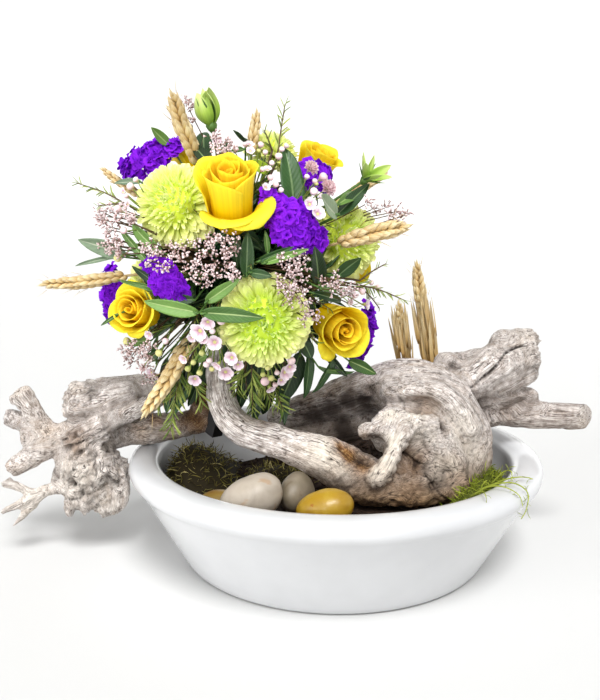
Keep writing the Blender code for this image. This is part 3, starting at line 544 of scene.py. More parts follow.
def makePiece(name, pile, names, nodes):
    # one piece from a pile of (shape, places, tints, number of the finish)
    points, corners, starts, blades, numbers = [], [], [], [], []
    pointCount = cornerCount = 0
    for shape, places, tints, number in pile:
        count = len(places)
        size = len(shape["points"])
        moved = np.einsum("nij,pj->npi", places[:, :3, :3], shape["points"]) + places[:, None, :3, 3]
        points.append(moved.reshape(-1, 3))
        each = np.arange(count)[:, None]
        corners.append((shape["corners"] + each * size).ravel() + pointCount)
        starts.append((shape["starts"] + each * len(shape["corners"])).ravel() + cornerCount)
        blade = np.repeat(shape["blade"][None], count, axis=0)
        blade[:, :, 2] += np.broadcast_to(tints, count)[:, None]
        blades.append(blade.reshape(-1, 3))
        numbers.append(np.full(count * len(shape["starts"]), number))
        pointCount += count * size
        cornerCount += count * len(shape["corners"])
    mesh = bpy.data.meshes.new(name)
    mesh.vertices.add(pointCount)
    mesh.loops.add(cornerCount)
    mesh.loops.foreach_set("vertex_index", np.concatenate(corners))
    allStarts = np.concatenate(starts)
    mesh.polygons.add(len(allStarts))
    mesh.polygons.foreach_set("loop_start", allStarts)
    mesh.polygons.foreach_set("material_index", np.concatenate(numbers).astype(np.int32))
    item = newItem(name, mesh)
    setPoints(item, np.concatenate(points))
    mesh.update(calc_edges=True)
    setVectors(item, "blade", np.concatenate(blades))
    return finishPiece(item, names, nodes)


# shapes to copy
arcSteps = np.linspace(0, 1, 60)
noMove = np.eye(4)[None]


def arc(bend, length):
    # how far forward and up a line of that length has come at each step of its bend
    return [np.concatenate(([0], np.cumsum(part(bend)))) / len(bend) * length for part in (np.sin, np.cos)]


def bladeShape(columns, rows, length, width, foot, tip, curl, cup, base, blunt=1.0, late=1.0,
               rounding=2.0, wave=0.0, waves=6.0, thickness=0.0):
    # a leaf, petal or floret: a grid grown along Z with its inner side to +X, given an outline,
    # curled, cupped and given a thickness
    startNew()
    bpy.ops.mesh.primitive_grid_add(x_subdivisions=columns, y_subdivisions=rows, size=2)
    item = bpy.context.object
    grid = pointsOf(item)
    across = grid[:, 0]
    along = 1 - ((1 - grid[:, 1]) / 2) ** blunt
    peak = foot / (foot + tip)
    top = peak ** foot * (1 - peak) ** tip
    outline = along ** foot * (1 - along) ** tip / top
    outline = np.maximum(outline, base * (1 - along) ** 2)
    half = width / 2 * outline
    bend = curl * arcSteps ** late
    forward, upward = arc(bend[1:] / 2 + bend[:-1] / 2, length)
    slope = np.interp(along, arcSteps, bend)
    lift = cup * half * np.abs(across) ** rounding
    lift = lift + wave * half * np.abs(across) * np.sin(along * waves)
    x = np.interp(along, arcSteps, forward) + lift * np.cos(slope)
    z = np.interp(along, arcSteps, upward) - lift * np.sin(slope)
    setPoints(item, np.column_stack((x, half * across, z)))
    setVectors(item, "blade", np.column_stack((along, across, np.zeros(len(grid)))))
    if thickness:
        applyModifier(item, "SOLIDIFY", {"thickness": thickness, "offset": 0.0})
    bpy.context.view_layer.objects.active = item
    editAll((bpy.ops.mesh.remove_doubles, {"threshold": width * 0.002}))
    return takeShape(item)


def turnedShape(profile, sides, squash=1.0):
    # a closed or open round shape spun from a profile of (radius, height)
    mesh = bpy.data.meshes.new("profile")
    mesh.from_pydata([(r, 0, z) for r, z in profile], [(i, i + 1) for i in range(len(profile) - 1)], [])
    item = newItem("profile", mesh)
    startNew(item)
    size = max(z for r, z in profile) - min(z for r, z in profile)
    fullTurn = {"steps": sides, "angle": 2 * math.pi, "center": (0, 0, 0), "axis": (0, 0, 1)}
    editAll((bpy.ops.mesh.spin, fullTurn), (bpy.ops.mesh.remove_doubles, {"threshold": size * 1e-4}),
            (bpy.ops.mesh.normals_make_consistent, {"inside": False}))
    points = pointsOf(item)
    along = (points[:, 2] - points[:, 2].min()) / size
    angle = np.arctan2(points[:, 1], points[:, 0])
    points[:, 1] *= squash
    setPoints(item, points)
    setVectors(item, "blade", np.column_stack((along, np.sin(angle), np.zeros(len(points)))))
    return takeShape(item)


def bentShape(shape, curl):
    # the same shape with its Z axis bent into an arc towards +X
    points = shape["points"].copy()
    length = points[:, 2].max()
    forward, upward = arc(curl * arcSteps[1:], length)
    along = np.clip(points[:, 2] / length, 0, 1)
    slope = curl * along
    x, y = points[:, 0], points[:, 1]
    points = np.column_stack((np.interp(along, arcSteps, forward) + x * np.cos(slope), y,
                              np.interp(along, arcSteps, upward) - x * np.sin(slope)))
    return {**shape, "points": points}


def tubeShape(path, radii, sides):
    # a closed tube along a path with its own radius at each point
    path = np.asarray(path, float)
    radii = np.broadcast_to(radii, len(path))
    ahead, side = pathFrames(path)
    up = np.cross(ahead, side)
    angles = np.arange(sides) * 2 * math.pi / sides
    rings = path[:, None] + radii[:, None, None] * (side[:, None] * np.cos(angles)[:, None]
                                                    + up[:, None] * np.sin(angles)[:, None])
    points = np.vstack((rings.reshape(-1, 3), path[0], path[-1]))
    quads, fans = [], []
    for ring in range(len(path) - 1):
        for i in range(sides):
            j = (i + 1) % sides
            quads.append((ring * sides + i, ring * sides + j, (ring + 1) * sides + j, (ring + 1) * sides + i))
    first, last = len(points) - 2, len(points) - 1
    for i in range(sides):
        j = (i + 1) % sides
        fans.append((first, j, i))
        fans.append((last, (len(path) - 1) * sides + i, (len(path) - 1) * sides + j))
    corners = np.array([c for face in quads + fans for c in face])
    starts = np.concatenate((np.arange(len(quads)) * 4, len(quads) * 4 + np.arange(len(fans)) * 3))
    along = np.repeat(np.linspace(0, 1, len(path)), sides)
    blade = np.zeros((len(points), 3))
    blade[:, 0] = np.concatenate((along, (0, 1)))
    blade[:-2, 1] = np.tile(np.sin(angles), len(path))
    return {"points": points, "corners": corners, "starts": starts, "blade": blade}


def drawOut(rings):
    # the active circle's rim drawn out ring by ring; rings are (radius, height)
    bpy.ops.object.mode_set(mode="EDIT")
    bpy.ops.mesh.select_all(action="SELECT")
    bpy.ops.mesh.region_to_loop()
    for (radius, height), (nextRadius, nextHeight) in zip(rings, rings[1:]):
        bpy.ops.mesh.extrude_edges_move(TRANSFORM_OT_translate={"value": (0, 0, nextHeight - height)})
        grow = nextRadius / radius
        bpy.ops.transform.resize(value=(grow, grow, 1), center_override=(0, 0, nextHeight))


def closeSkin(inside=False):
    # back to object mode with all faces turned one way
    bpy.ops.mesh.select_all(action="SELECT")
    bpy.ops.mesh.normals_make_consistent(inside=inside)
    bpy.ops.object.mode_set(mode="OBJECT")


# camera, light and floor
studio = {
    "cameraPlace": (-0.031, -0.707, 0.3115),
    "cameraTilt": 79.74,
    "lens": 41.14,
    # the floor is a wide dish whose edge curves up, as (radius, height)
    "dish": [(3.0, 0.0), (3.8, 0.02), (4.5, 0.15), (5.0, 0.5), (5.2, 1.1), (5.25, 1.9)],
    "floorTone": "#D8D8D7",
    "skyTone": "#FFFFFF",
    "skyStrength": 0.55,
    # name: (azimuth, elevation, strength, softness); azimuth 0 is the front and 90 is +X, in degrees
    "lamps": {"key_softbox": (12, 56, 3.0, 24), "fill_softbox": (-48, 6, 3.3, 50)},
    # softboxes near by: where each is, where it aims, its watts, size and cone in degrees
    "spots": {"flower_softbox": ((-0.22, -1.1, 0.52), (-0.084, -0.06, 0.272), 34.0, 0.16, 20),
              "side_softbox": ((-1.6, -0.6, 0.1), (-0.12, -0.06, 0.06), 48.0, 0.3, 30)},
}


def addLamp(kind, name, place, towards, strength):
    # a lamp at a place whose light comes from a direction
    turn = towards.to_track_quat("Z", "Y").to_euler()
    bpy.ops.object.light_add(type=kind, location=place, rotation=turn)
    lamp = bpy.context.object
    lamp.name = name
    lamp.data.energy = strength
    return lamp.data


def makeStudio(spec):
    startNew()
    bpy.ops.object.camera_add(location=spec["cameraPlace"], rotation=(math.radians(spec["cameraTilt"]), 0, 0))
    camera = bpy.context.object
    camera.data.lens = spec["lens"]
    camera.data.sensor_width = 36
    camera.data.clip_start = 0.01
    camera.data.clip_end = 100
    bpy.context.scene.camera = camera
    for name, (azimuth, elevation, strength, softness) in spec["lamps"].items():
        source = Vector(facing(azimuth, elevation)[:, 2])
        addLamp("SUN", name, source * 2, source, strength).angle = math.radians(softness)
    for name, (place, aim, watts, size, cone) in spec["spots"].items():
        lamp = addLamp("SPOT", name, place, Vector(place) - Vector(aim), watts)
        lamp.shadow_soft_size = size
        lamp.spot_size = math.radians(cone)
        lamp.spot_blend = 0.6
    world = bpy.data.worlds.new("pale_room")
    world.use_nodes = True
    sky = world.node_tree.nodes["Background"].inputs
    sky["Color"].default_value = hexLinear(spec["skyTone"])
    sky["Strength"].default_value = spec["skyStrength"]
    bpy.context.scene.world = world
    bpy.context.scene.view_settings.view_transform = "Standard"
    startNew()
    bpy.ops.mesh.primitive_circle_add(vertices=96, radius=spec["dish"][0][0], fill_type="NGON")
    floor = bpy.context.object
    floor.name = "pale_floor"
    drawOut(spec["dish"])
    closeSkin(inside=True)
    floor.data.shade_smooth()
    matt = {"Base Color": hexLinear(spec["floorTone"]), "Roughness": 0.9, "Specular IOR Level": 0.1}
    floor.data.materials.append(startMaterial("matt_pale_floor", matt)[0])
    print("studio ready")


# bowl
bowl = {
    "rimRadius": 0.185, "rimWidth": 0.028, "height": 0.094, "baseRadius": 0.136,
    "rimStep": 0.006, "rimDrop": 0.019, "wall": 0.01, "floor": 0.012, "floorRadius": 0.116,
    "heel": (0.132, 0.02), "waist": 0.05, "steps": 96,
}


def bowlSide(height):
    # outer radius of the straight side
    top = bowl["height"] - bowl["rimDrop"]
    return bowl["baseRadius"] + (bowl["rimRadius"] - bowl["rimStep"] - bowl["baseRadius"]) * height / top


def bowlProfile():
    # (radius, height) from the middle of the floor over the rim to the middle of the underside
    top, rim, foot = bowl["height"], bowl["rimRadius"], bowl["baseRadius"]
    inner = rim - bowl["rimWidth"]
    crest = rim - 0.46 * bowl["rimWidth"]
    under = top - bowl["rimDrop"]
    return [
        (0, bowl["floor"]), (0.06, bowl["floor"]), (bowl["floorRadius"], bowl["floor"]), bowl["heel"],
        (bowlSide(bowl["waist"]) - bowl["wall"], bowl["waist"]), (inner + 0.001, top - 0.014),
        (inner, top - 0.006), (inner + 0.004, top - 0.001), (crest - 0.004, top + 0.0002),
        (crest + 0.006, top - 0.0004), (rim - 0.0015, top - 0.0035), (rim + 0.0003, top - 0.0085),
        (rim - 0.0008, top - 0.0145), (rim - 0.0042, under + 0.0012),
        (bowlSide(under) + 0.0002, under - 0.0012), (bowlSide(under - 0.006), under - 0.006),
        (bowlSide(0.03), 0.03), (foot + 0.0035, 0.0045), (foot + 0.001, 0.0006), (foot - 0.004, 0),
        (0.06, 0), (0, 0),
    ]


def makeBowl(spec):
    # a circle drawn out along the profile ring by ring, then smoothed
    startNew()
    profile = bowlProfile()
    bpy.ops.mesh.primitive_circle_add(vertices=spec["steps"], radius=profile[1][0], fill_type="TRIFAN",
                                      location=(0, 0, profile[1][1]))
    item = bpy.context.object
    item.name = "bowl_glazed"
    bpy.ops.object.transform_apply(location=True, rotation=True, scale=True)
    drawOut(profile[1:-1])
    bpy.ops.mesh.edge_face_add()
    bpy.ops.mesh.poke()
    closeSkin()
    applyModifier(item, "SUBSURF", {"levels": 1, "render_levels": 1})
    points = pointsOf(item)
    swell = 0.00025 * softNoise(points, (0.09, 0.09, 0.03), 3)  # a thrown wall is never quite true
    inside = np.hypot(points[:, 0], points[:, 1]) > 0.05
    points[:, :2] *= (1 + np.where(inside & (points[:, 2] > 0.01), swell / 0.17, 0))[:, None]
    points[:, 2] = np.maximum(points[:, 2], 0.0)
    setPoints(item, points)
    finishPiece(item, ["glaze"], ["bowl"])
    print("bowl", len(item.data.polygons))


def clearOfBowl(points, gap):
    # points that reach into the bowl's wall are moved out to its surface
    profile = np.array(bowlProfile())
    radius = np.hypot(points[:, 0], points[:, 1])
    flat = np.column_stack((radius, points[:, 2]))
    inside = np.zeros(len(points), bool)
    nearest = np.full(len(points), 1e9)
    target = flat.copy()
    closed = np.vstack((profile, profile[:1]))
    for a, b in zip(closed, closed[1:]):
        crosses = (a[1] > flat[:, 1]) != (b[1] > flat[:, 1])
        rise = b[1] - a[1] if abs(b[1] - a[1]) > 1e-9 else 1e-9
        inside ^= crosses & (flat[:, 0] < (b[0] - a[0]) * (flat[:, 1] - a[1]) / rise + a[0])
        if a[0] + b[0] > 0.2:
            offset = alongSegment(flat, a, b)[1]
            away = np.linalg.norm(offset, axis=1)
            closer = away < nearest
            nearest[closer] = away[closer]
            target[closer] = (flat - offset)[closer]
    push = unit(target - flat) * gap
    moved = np.where(inside[:, None], target + push, flat)
    grow = moved[:, 0] / np.maximum(radius, 1e-9)
    return np.column_stack((points[:, 0] * grow, points[:, 1] * grow, moved[:, 1]))


# soil
soil = {"rings": 40, "steps": 110, "roughness": 0.0022, "crumbs": 650, "crumbSize": (0.0007, 0.0024),
        "chips": 160, "chipSize": (0.002, 0.006), "seed": 11, "dip": 0.024}


def crumbShape():
    # an angular crumb of peat
    startNew()
    bpy.ops.mesh.primitive_ico_sphere_add(subdivisions=1, radius=1.0)
    item = bpy.context.object
    points = pointsOf(item)
    setPoints(item, points * (1 + 0.35 * softNoise(points, 0.9, 5))[:, None] * (1, 0.8, 0.6))
    return takeShape(item)


def soilDip(points, depth):
    # how far the soil has been scooped down at the back left
    return depth * ease((points[:, 1] - 0.03) / 0.028) * ease((0.01 - points[:, 0]) / 0.03)


def scatter(count, margin, above, spec, dice):
    # headings and places all over the soil
    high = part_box("soil")[1]
    angle = dice.uniform(0, 2 * math.pi, count)
    reach = (high.x - margin) * np.sqrt(dice.uniform(0, 1, count))
    places = np.column_stack((reach * np.cos(angle), reach * np.sin(angle), np.full(count, high.z + above)))
    places[:, 2] -= soilDip(places, spec["dip"])
    return angle, places


def makeSoil(spec):
    low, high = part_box("soil")
    topRadius = high.x
    dice = np.random.default_rng(spec["seed"])
    rings = np.linspace(0, topRadius, spec["rings"])
    profile = [(r, high.z) for r in rings] + [(topRadius - 0.004, 0.045), (bowl["heel"][0] - 0.001, 0.021),
                                              (bowl["floorRadius"] - 0.002, low.z), (0, low.z)]
    ground = turnedShape(profile, spec["steps"])
    points = ground["points"]
    surface = points[:, 2] > high.z - 1e-5
    radius = np.hypot(points[:, 0], points[:, 1])
    calm = np.clip((topRadius - radius) / 0.004, 0, 1)
    lumps = 0.6 * softNoise(points, 0.012, 1) + 0.4 * softNoise(points, 0.004, 2)
    points[:, 2] += np.where(surface, spec["roughness"] * lumps * calm - 0.0006, 0)
    points[:, 2] -= np.where(surface, soilDip(points, spec["dip"]), 0)
    wallRadius = np.interp(points[:, 2], (0.045, high.z), (topRadius - 0.004, topRadius))
    radius = np.maximum(np.hypot(points[:, 0], points[:, 1]), 1e-6)
    points[:, :2] *= np.minimum(1, wallRadius / radius)[:, None]
    count = spec["crumbs"]
    angle, places = scatter(count, 0.003, 0.0004, spec, dice)
    crumbs = standing(places, around(angle * 3, dice.uniform(0, 1.2, count)), dice.normal(size=(count, 3)),
                      dice.uniform(*spec["crumbSize"], count))
    chip = turnedShape([(0, -1), (0.22, -0.8), (0.3, 0.1), (0.15, 0.9), (0, 1)], 5, squash=0.4)
    count = spec["chips"]
    angle, places = scatter(count, 0.008, 0.001, spec, dice)
    chips = standing(places, around(angle * 5, np.full(count, 1.45)), (0, 0, 1),
                     dice.uniform(*spec["chipSize"], count))
    pile = [(ground, noMove, 0, 0), (crumbShape(), crumbs, 0, 0), (chip, chips, 0, 0)]
    makePiece("soil_surface", pile, ["soil"], ["soil"])
    print("soil")


# pebbles
# name: growth and shift along X
pebbles = {"pebble_white": (1.08, -0.002), "pebble_grey": (1.2, -0.003), "pebble_amber": (1.04, 0),
           "pebble_orange": (1.03, 0)}
pebbleLumps = [(0.0011, 0.018), (0.0003, 0.005)]  # height and size


def copyNode(node, name):
    # a free copy of a CAD node's mesh, merged into one skin
    item = newItem(name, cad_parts[node].data.copy())
    item.data.materials.clear()
    startNew(item)
    editAll((bpy.ops.mesh.remove_doubles, {"threshold": 0.00002}))
    return item


def makePebbles(spec):
    for node, (grow, shift) in spec.items():
        item = copyNode(node, node + "_stone")
        applyModifier(item, "SUBSURF", {"levels": 2, "render_levels": 2})
        centre = pointsOf(item).mean(0)
        points = centre + (pointsOf(item) - centre) * grow + (shift, 0, 0)
        away = unit(points - centre)
        lumps = sum(high * softNoise(points, size, 8 + k) for k, (high, size) in enumerate(pebbleLumps))
        points = points + away * lumps[:, None]
        points[:, 2] = np.maximum(points[:, 2], soilTop)
        setPoints(item, points)
        finishPiece(item, [node.split("_")[1] + "Stone"], [node])
    print("pebbles")


# moss
mosses = {
    "moss_left": {"finish": "darkMoss", "threads": 1250, "length": (0.006, 0.014), "stand": 0.45,
                  "seed": 21, "slope": (-0.138, -0.094, 0.4)},
    "moss_centre": {"finish": "darkMoss", "threads": 750, "length": (0.005, 0.012), "stand": 0.6,
                    "seed": 22},
    "moss_right": {"finish": "brightMoss", "threads": 1050, "length": (0.005, 0.014), "stand": 0.7,
                   "seed": 23},
}
# jitter and flatness of how threads lean, and the loose ones' turn in degrees, lift and hairs' lengths
mossThreads = {"jitter": 0.75, "flatness": 0.6, "rimTurn": 5, "rimLift": 0.0012, "hair": (0.005, 0.009)}
# loose threads of the right moss that hang over the rim, as (azimuth from the front, radius, height)
rimThreads = [
    [(50, 0.15, 0.086), (51, 0.162, 0.0945), (52, 0.174, 0.0962), (53, 0.184, 0.0915), (54, 0.1865, 0.082)],
    [(52, 0.15, 0.088), (54, 0.164, 0.095), (56, 0.176, 0.0965), (57, 0.1855, 0.09), (56, 0.1865, 0.078),
     (55, 0.184, 0.07)],
    [(47, 0.152, 0.086), (46, 0.163, 0.0945), (44, 0.172, 0.0965), (42, 0.178, 0.0968)],
    [(56, 0.152, 0.088), (59, 0.166, 0.0955), (62, 0.176, 0.0965), (64, 0.182, 0.094)],
    [(60, 0.152, 0.088), (62, 0.16, 0.098), (60, 0.168, 0.101), (57, 0.172, 0.097)],
]


def meshSpots(shape, count, dice):
    # random spots on a surface with their normals, evenly by area
    points, corners, starts = shape["points"], shape["corners"], shape["starts"]
    ends = np.append(starts[1:], len(corners))
    triangles = []
    for a, b in zip(starts, ends):
        for k in range(a + 1, b - 1):
            triangles.append((corners[a], corners[k], corners[k + 1]))
    triangles = points[np.array(triangles)]
    normals = np.cross(triangles[:, 1] - triangles[:, 0], triangles[:, 2] - triangles[:, 0])
    area = np.linalg.norm(normals, axis=1)
    chosen = dice.choice(len(area), count, p=area / area.sum())
    a, b = dice.uniform(0, 1, (2, count, 1))
    flip = a + b > 1
    a, b = np.where(flip, 1 - a, a), np.where(flip, 1 - b, b)
    corner = triangles[chosen]
    spots = corner[:, 0] + a * (corner[:, 1] - corner[:, 0]) + b * (corner[:, 2] - corner[:, 0])
    return spots, unit(normals[chosen])


def makeMosses(spec):
    # three curls of a moss thread with a feathered outline
    straight = turnedShape([(0, 0), (0.03, 0.02), (0.022, 0.25), (0.036, 0.4), (0.022, 0.55), (0.032, 0.7),
                            (0.016, 0.85), (0, 1)], 3)
    threads = [bentShape(straight, curl) for curl in (0.7, 1.6, 2.8)]
    for node, part in spec.items():
        dice = np.random.default_rng(part["seed"])
        item = copyNode(node, node + "_base")
        applyModifier(item, "SUBSURF", {"levels": 2, "render_levels": 2})
        points = pointsOf(item)
        low = points[:, 2].min()
        points[:, 2] += np.where(points[:, 2] > low + 0.002, 0.002 * softNoise(points, 0.008, 4), 0)
        if "slope" in part:  # the cushion sinks towards the middle of the bowl
            first, last, share = part["slope"]
            points[:, 2] = low + (points[:, 2] - low) * np.interp(points[:, 0], (first, last), (1, share))
        setPoints(item, points)
        cushion = takeShape(item)
        cushion["blade"][:] = (0.0, 0.0, 0.08)
        spots, normals = meshSpots(cushion, part["threads"], dice)
        upper = spots[:, 2] > low + 0.0015
        spots, normals = spots[upper], normals[upper]
        pile = [(cushion, noMove, 0, 0)]
        for index, thread in enumerate(threads):
            mine = np.arange(len(spots)) % len(threads) == index
            count = mine.sum()
            lean = normals[mine] * part["stand"] + dice.normal(size=(count, 3)) * mossThreads["jitter"]
            lean[:, 2] = np.abs(lean[:, 2]) * mossThreads["flatness"]
            sizes = dice.uniform(*part["length"], count)
            tints = dice.beta(1.6, 1.8, count)
            places = standing(spots[mine] - normals[mine] * 0.001, lean, dice.normal(size=(count, 3)), sizes)
            pile.append((thread, places, tints, 0))
        if node == "moss_right":
            for trail in rimThreads:
                angle, radius, height = np.transpose(trail)
                angle = np.radians(angle - mossThreads["rimTurn"])
                path = np.column_stack((radius * np.sin(angle), -radius * np.cos(angle), height))
                path = smoothPath(path, 6)
                path[:, 2] += mossThreads["rimLift"]
                pile.append((tubeShape(path, np.linspace(0.0007, 0.0003, len(path)), 4), noMove, 0.7, 0))
                count = len(path[::2])
                spots = path[::2] + dice.normal(size=(count, 3)) * 0.0006
                places = standing(spots, dice.normal(size=(count, 3)) + (0, 0, 0.6),
                                  dice.normal(size=(count, 3)), dice.uniform(*mossThreads["hair"], count))
                pile.append((threads[1], places, 0.6, 0))
        makePiece(node + "_threads", pile, [part["finish"]], [node])
    print("moss")


# driftwood
# Each limb is a list of (x, y, z, radius) along its heart in millimetres, close to the solid's.
rootLimbs = metres({
    "front branch": [(-99, -27, 184, 12), (-100, -37, 160, 12), (-94, -50, 139, 12.5),
        (-76, -61, 126, 13.5), (-46, -69, 118, 14.5), (-18, -72, 109, 18), (6, -70, 96, 21),
        (34, -68, 80, 20)],
    "arch": [(-50, 45, 108, 14), (-18, 36, 120, 18), (10, 22, 132, 21), (36, 6, 144, 23),
        (62, -4, 152.5, 24), (90, -10, 145, 25), (109, -18, 124, 25), (115, -28, 101, 24),
        (105, -42, 81, 22), (83, -58, 76, 18)],
    "saddle": [(40, -58, 126, 12), (58, -66, 131, 11), (78, -58, 128, 14)],
    "knob": [(52, -30, 118, 24), (78, -40, 108, 30), (92, -48, 90, 24)],
    "foot": [(40, -70, 83, 16), (64, -76, 84, 18), (90, -66, 82, 17)],
    "finger": [(52, -74, 127, 12), (46, -80, 116, 10.8), (39, -86, 104, 10), (31, -90, 95, 9.8)],
    "upper stub": [(92, -6, 138, 20), (124, 4, 152, 19), (150, 12, 168, 21), (174, 19, 178, 23)],
    "small knob": [(90, 4, 156, 12), (106, 12, 168, 11)],
    "right stub": [(112, 4, 118, 16), (148, 12, 126, 16.5), (178, 14, 121, 14), (205, 14, 119, 13),
        (233, 14, 118, 12.5)],
    "left lump": [(25, -70, 127, 9.1), (38, -70, 129, 11.5), (53, -66, 133, 10.8)],
    "white ridge": [(40, -62, 133, 10.5), (62, -62, 129, 12.5), (85, -58, 120, 13), (98, -52, 105, 13)],
    "inner web": [(50, -20, 150, 10.6), (74, -26, 151, 14), (96, -32, 142, 15.6), (110, -36, 119, 17.4)],
    "cheek": [(77, -58, 117, 16.8), (92, -60, 98, 18.6), (94, -64, 82, 15.2)],
    "core": [(49, -66, 113, 13.3), (66, -66, 100, 16.7), (77, -70, 90, 15)],
    "under": [(12, -78, 83, 11.5), (31, -84, 81, 10.6), (52, -86, 80, 10.6), (74, -82, 80, 11.5),
        (97, -74, 82, 11.6)],
    "back mass": [(-35, 48, 98, 18), (-10, 42, 100, 20), (16, 30, 108, 20), (35, 16, 118, 17)],
    "stub chip a": [(169, 10, 185, 4.5), (188, 10, 183, 2.3)],
    "stub chip b": [(171, 6, 173, 7.3), (188, 6, 171, 2.7)],
    "stub tip": [(157, 16, 185, 16.5), (175, 16, 179, 18.4)],
    "stub lower": [(124, 4, 146, 12.8), (152, 8, 152, 14.6), (178, 10, 161, 11)],
    "shoulder": [(102, 16, 169, 10.1), (118, 16, 169, 10.1), (131, 16, 173, 10.1)],
    "fork": [(158, 12, 136, 11.1), (182, 14, 138, 8.3)],
})
leftLimbs = metres({
    "lower log": [(-118, 7, 117, 12), (-140, 8, 112, 13), (-165, 8, 109, 14), (-190, 6, 108, 16),
        (-216, 2, 108, 19), (-240, -2, 104, 15), (-262, -2, 103, 12), (-276, -2, 103, 12)],
    "upper log": [(-140, 14, 144, 12), (-168, 12, 143, 16), (-195, 10, 139, 19), (-216, 8, 136, 19),
        (-236, 5, 134, 14)],
    "log knot": [(-222, 4, 146, 10), (-240, 2, 140, 8), (-232, 2, 120, 12)],
    "diagonal": [(-150, -14, 146, 7), (-170, -20, 136, 8.5), (-200, -22, 122, 9), (-234, -20, 106, 11)],
    "upright": [(-124, 7, 117, 12), (-116, 6, 140, 12), (-105, 3, 172, 11)],
    "upper prong": [(-262, -2, 106, 11), (-273, -2, 126, 9), (-282, -2, 143, 9.8)],
    "prong fork": [(-279, -2, 136, 6), (-290, -2, 139, 5.2)],
    "stub prong": [(-268, 0, 108, 8), (-298, 4, 120, 8.2)],
    "lower prong": [(-250, -4, 101, 12), (-274, -8, 87, 10.5), (-290, -12, 77, 9)],
    "gnarl": [(-222, -6, 102, 22), (-224, -14, 82, 24), (-222, -20, 62, 21)],
    "gnarl skirt": [(-240, -6, 100, 12), (-244, -8, 78, 11)],
    "left toe": [(-230, -20, 58, 14), (-236, -20, 41, 9)],
    "right toe": [(-212, -20, 56, 16), (-206, -20, 38, 10)],
    "right lobe": [(-206, -12, 88, 10), (-198, -16, 70, 12.5), (-197, -20, 52, 11.5), (-202, -20, 40, 8.5)],
    "rim nub": [(-212, -10, 76, 7), (-199, -8, 80, 4.2), (-190.5, -6, 83, 3.2)],
    "twig": [(-236, -20, 64, 8), (-258, -24, 60, 6.2), (-275, -28, 52, 4.6), (-296, -30, 42, 3.2)],
    "twig fork": [(-266, -26, 57, 4.6), (-277, -28, 63, 4), (-286, -30, 68, 3.4), (-293, -30, 68, 2.8)],
    "twig tail": [(-262, -26, 56, 4), (-276, -28, 42, 3), (-288, -30, 29, 2.6)],
    "log rim a": [(-237, -4, 142, 8.1), (-226, -4, 149, 7.2), (-214, -6, 144, 7.2)],
    "log rim b": [(-243, -2, 136, 4.5), (-238, -4, 127, 7.2)],
    "log end": [(-231, -6, 134, 11.7), (-212, -4, 136, 15.4), (-187, 0, 141, 15.4)],
    "splinter a": [(-205, -32, 121, 4.8), (-222, -34, 112, 3.4), (-240, -34, 103, 1.8)],
    "splinter b": [(-202, -31, 116, 4.4), (-217, -34, 107, 3.2), (-232, -34, 98, 1.7)],
    "splinter c": [(-208, -28, 127, 4.4), (-226, -30, 119, 3.2), (-243, -30, 110, 1.8)],
    "splinter d": [(-200, -28, 111, 4.4), (-212, -32, 103, 3), (-222, -33, 95, 1.7)],
    "back skirt": [(-236, 4, 89, 9.2), (-253, 6, 69, 7.4), (-261, 8, 55, 3.7)],
    "crust a": [(-207, -30, 98, 5.3), (-203, -36, 87, 7), (-208, -38, 75, 5.3)],
    "crust b": [(-198, -30, 94, 4.4), (-194, -34, 83, 4.4), (-193, -34, 75, 2.6)],
    "cheek left": [(-223, -26, 82, 8.9), (-230, -28, 67, 8.9)],
    "toe ridge": [(-222, -34, 59, 7.1), (-221, -34, 45, 5.3)],
    "spike": [(-189, -12, 77, 3.6), (-183, -10, 82, 1.6)],
})
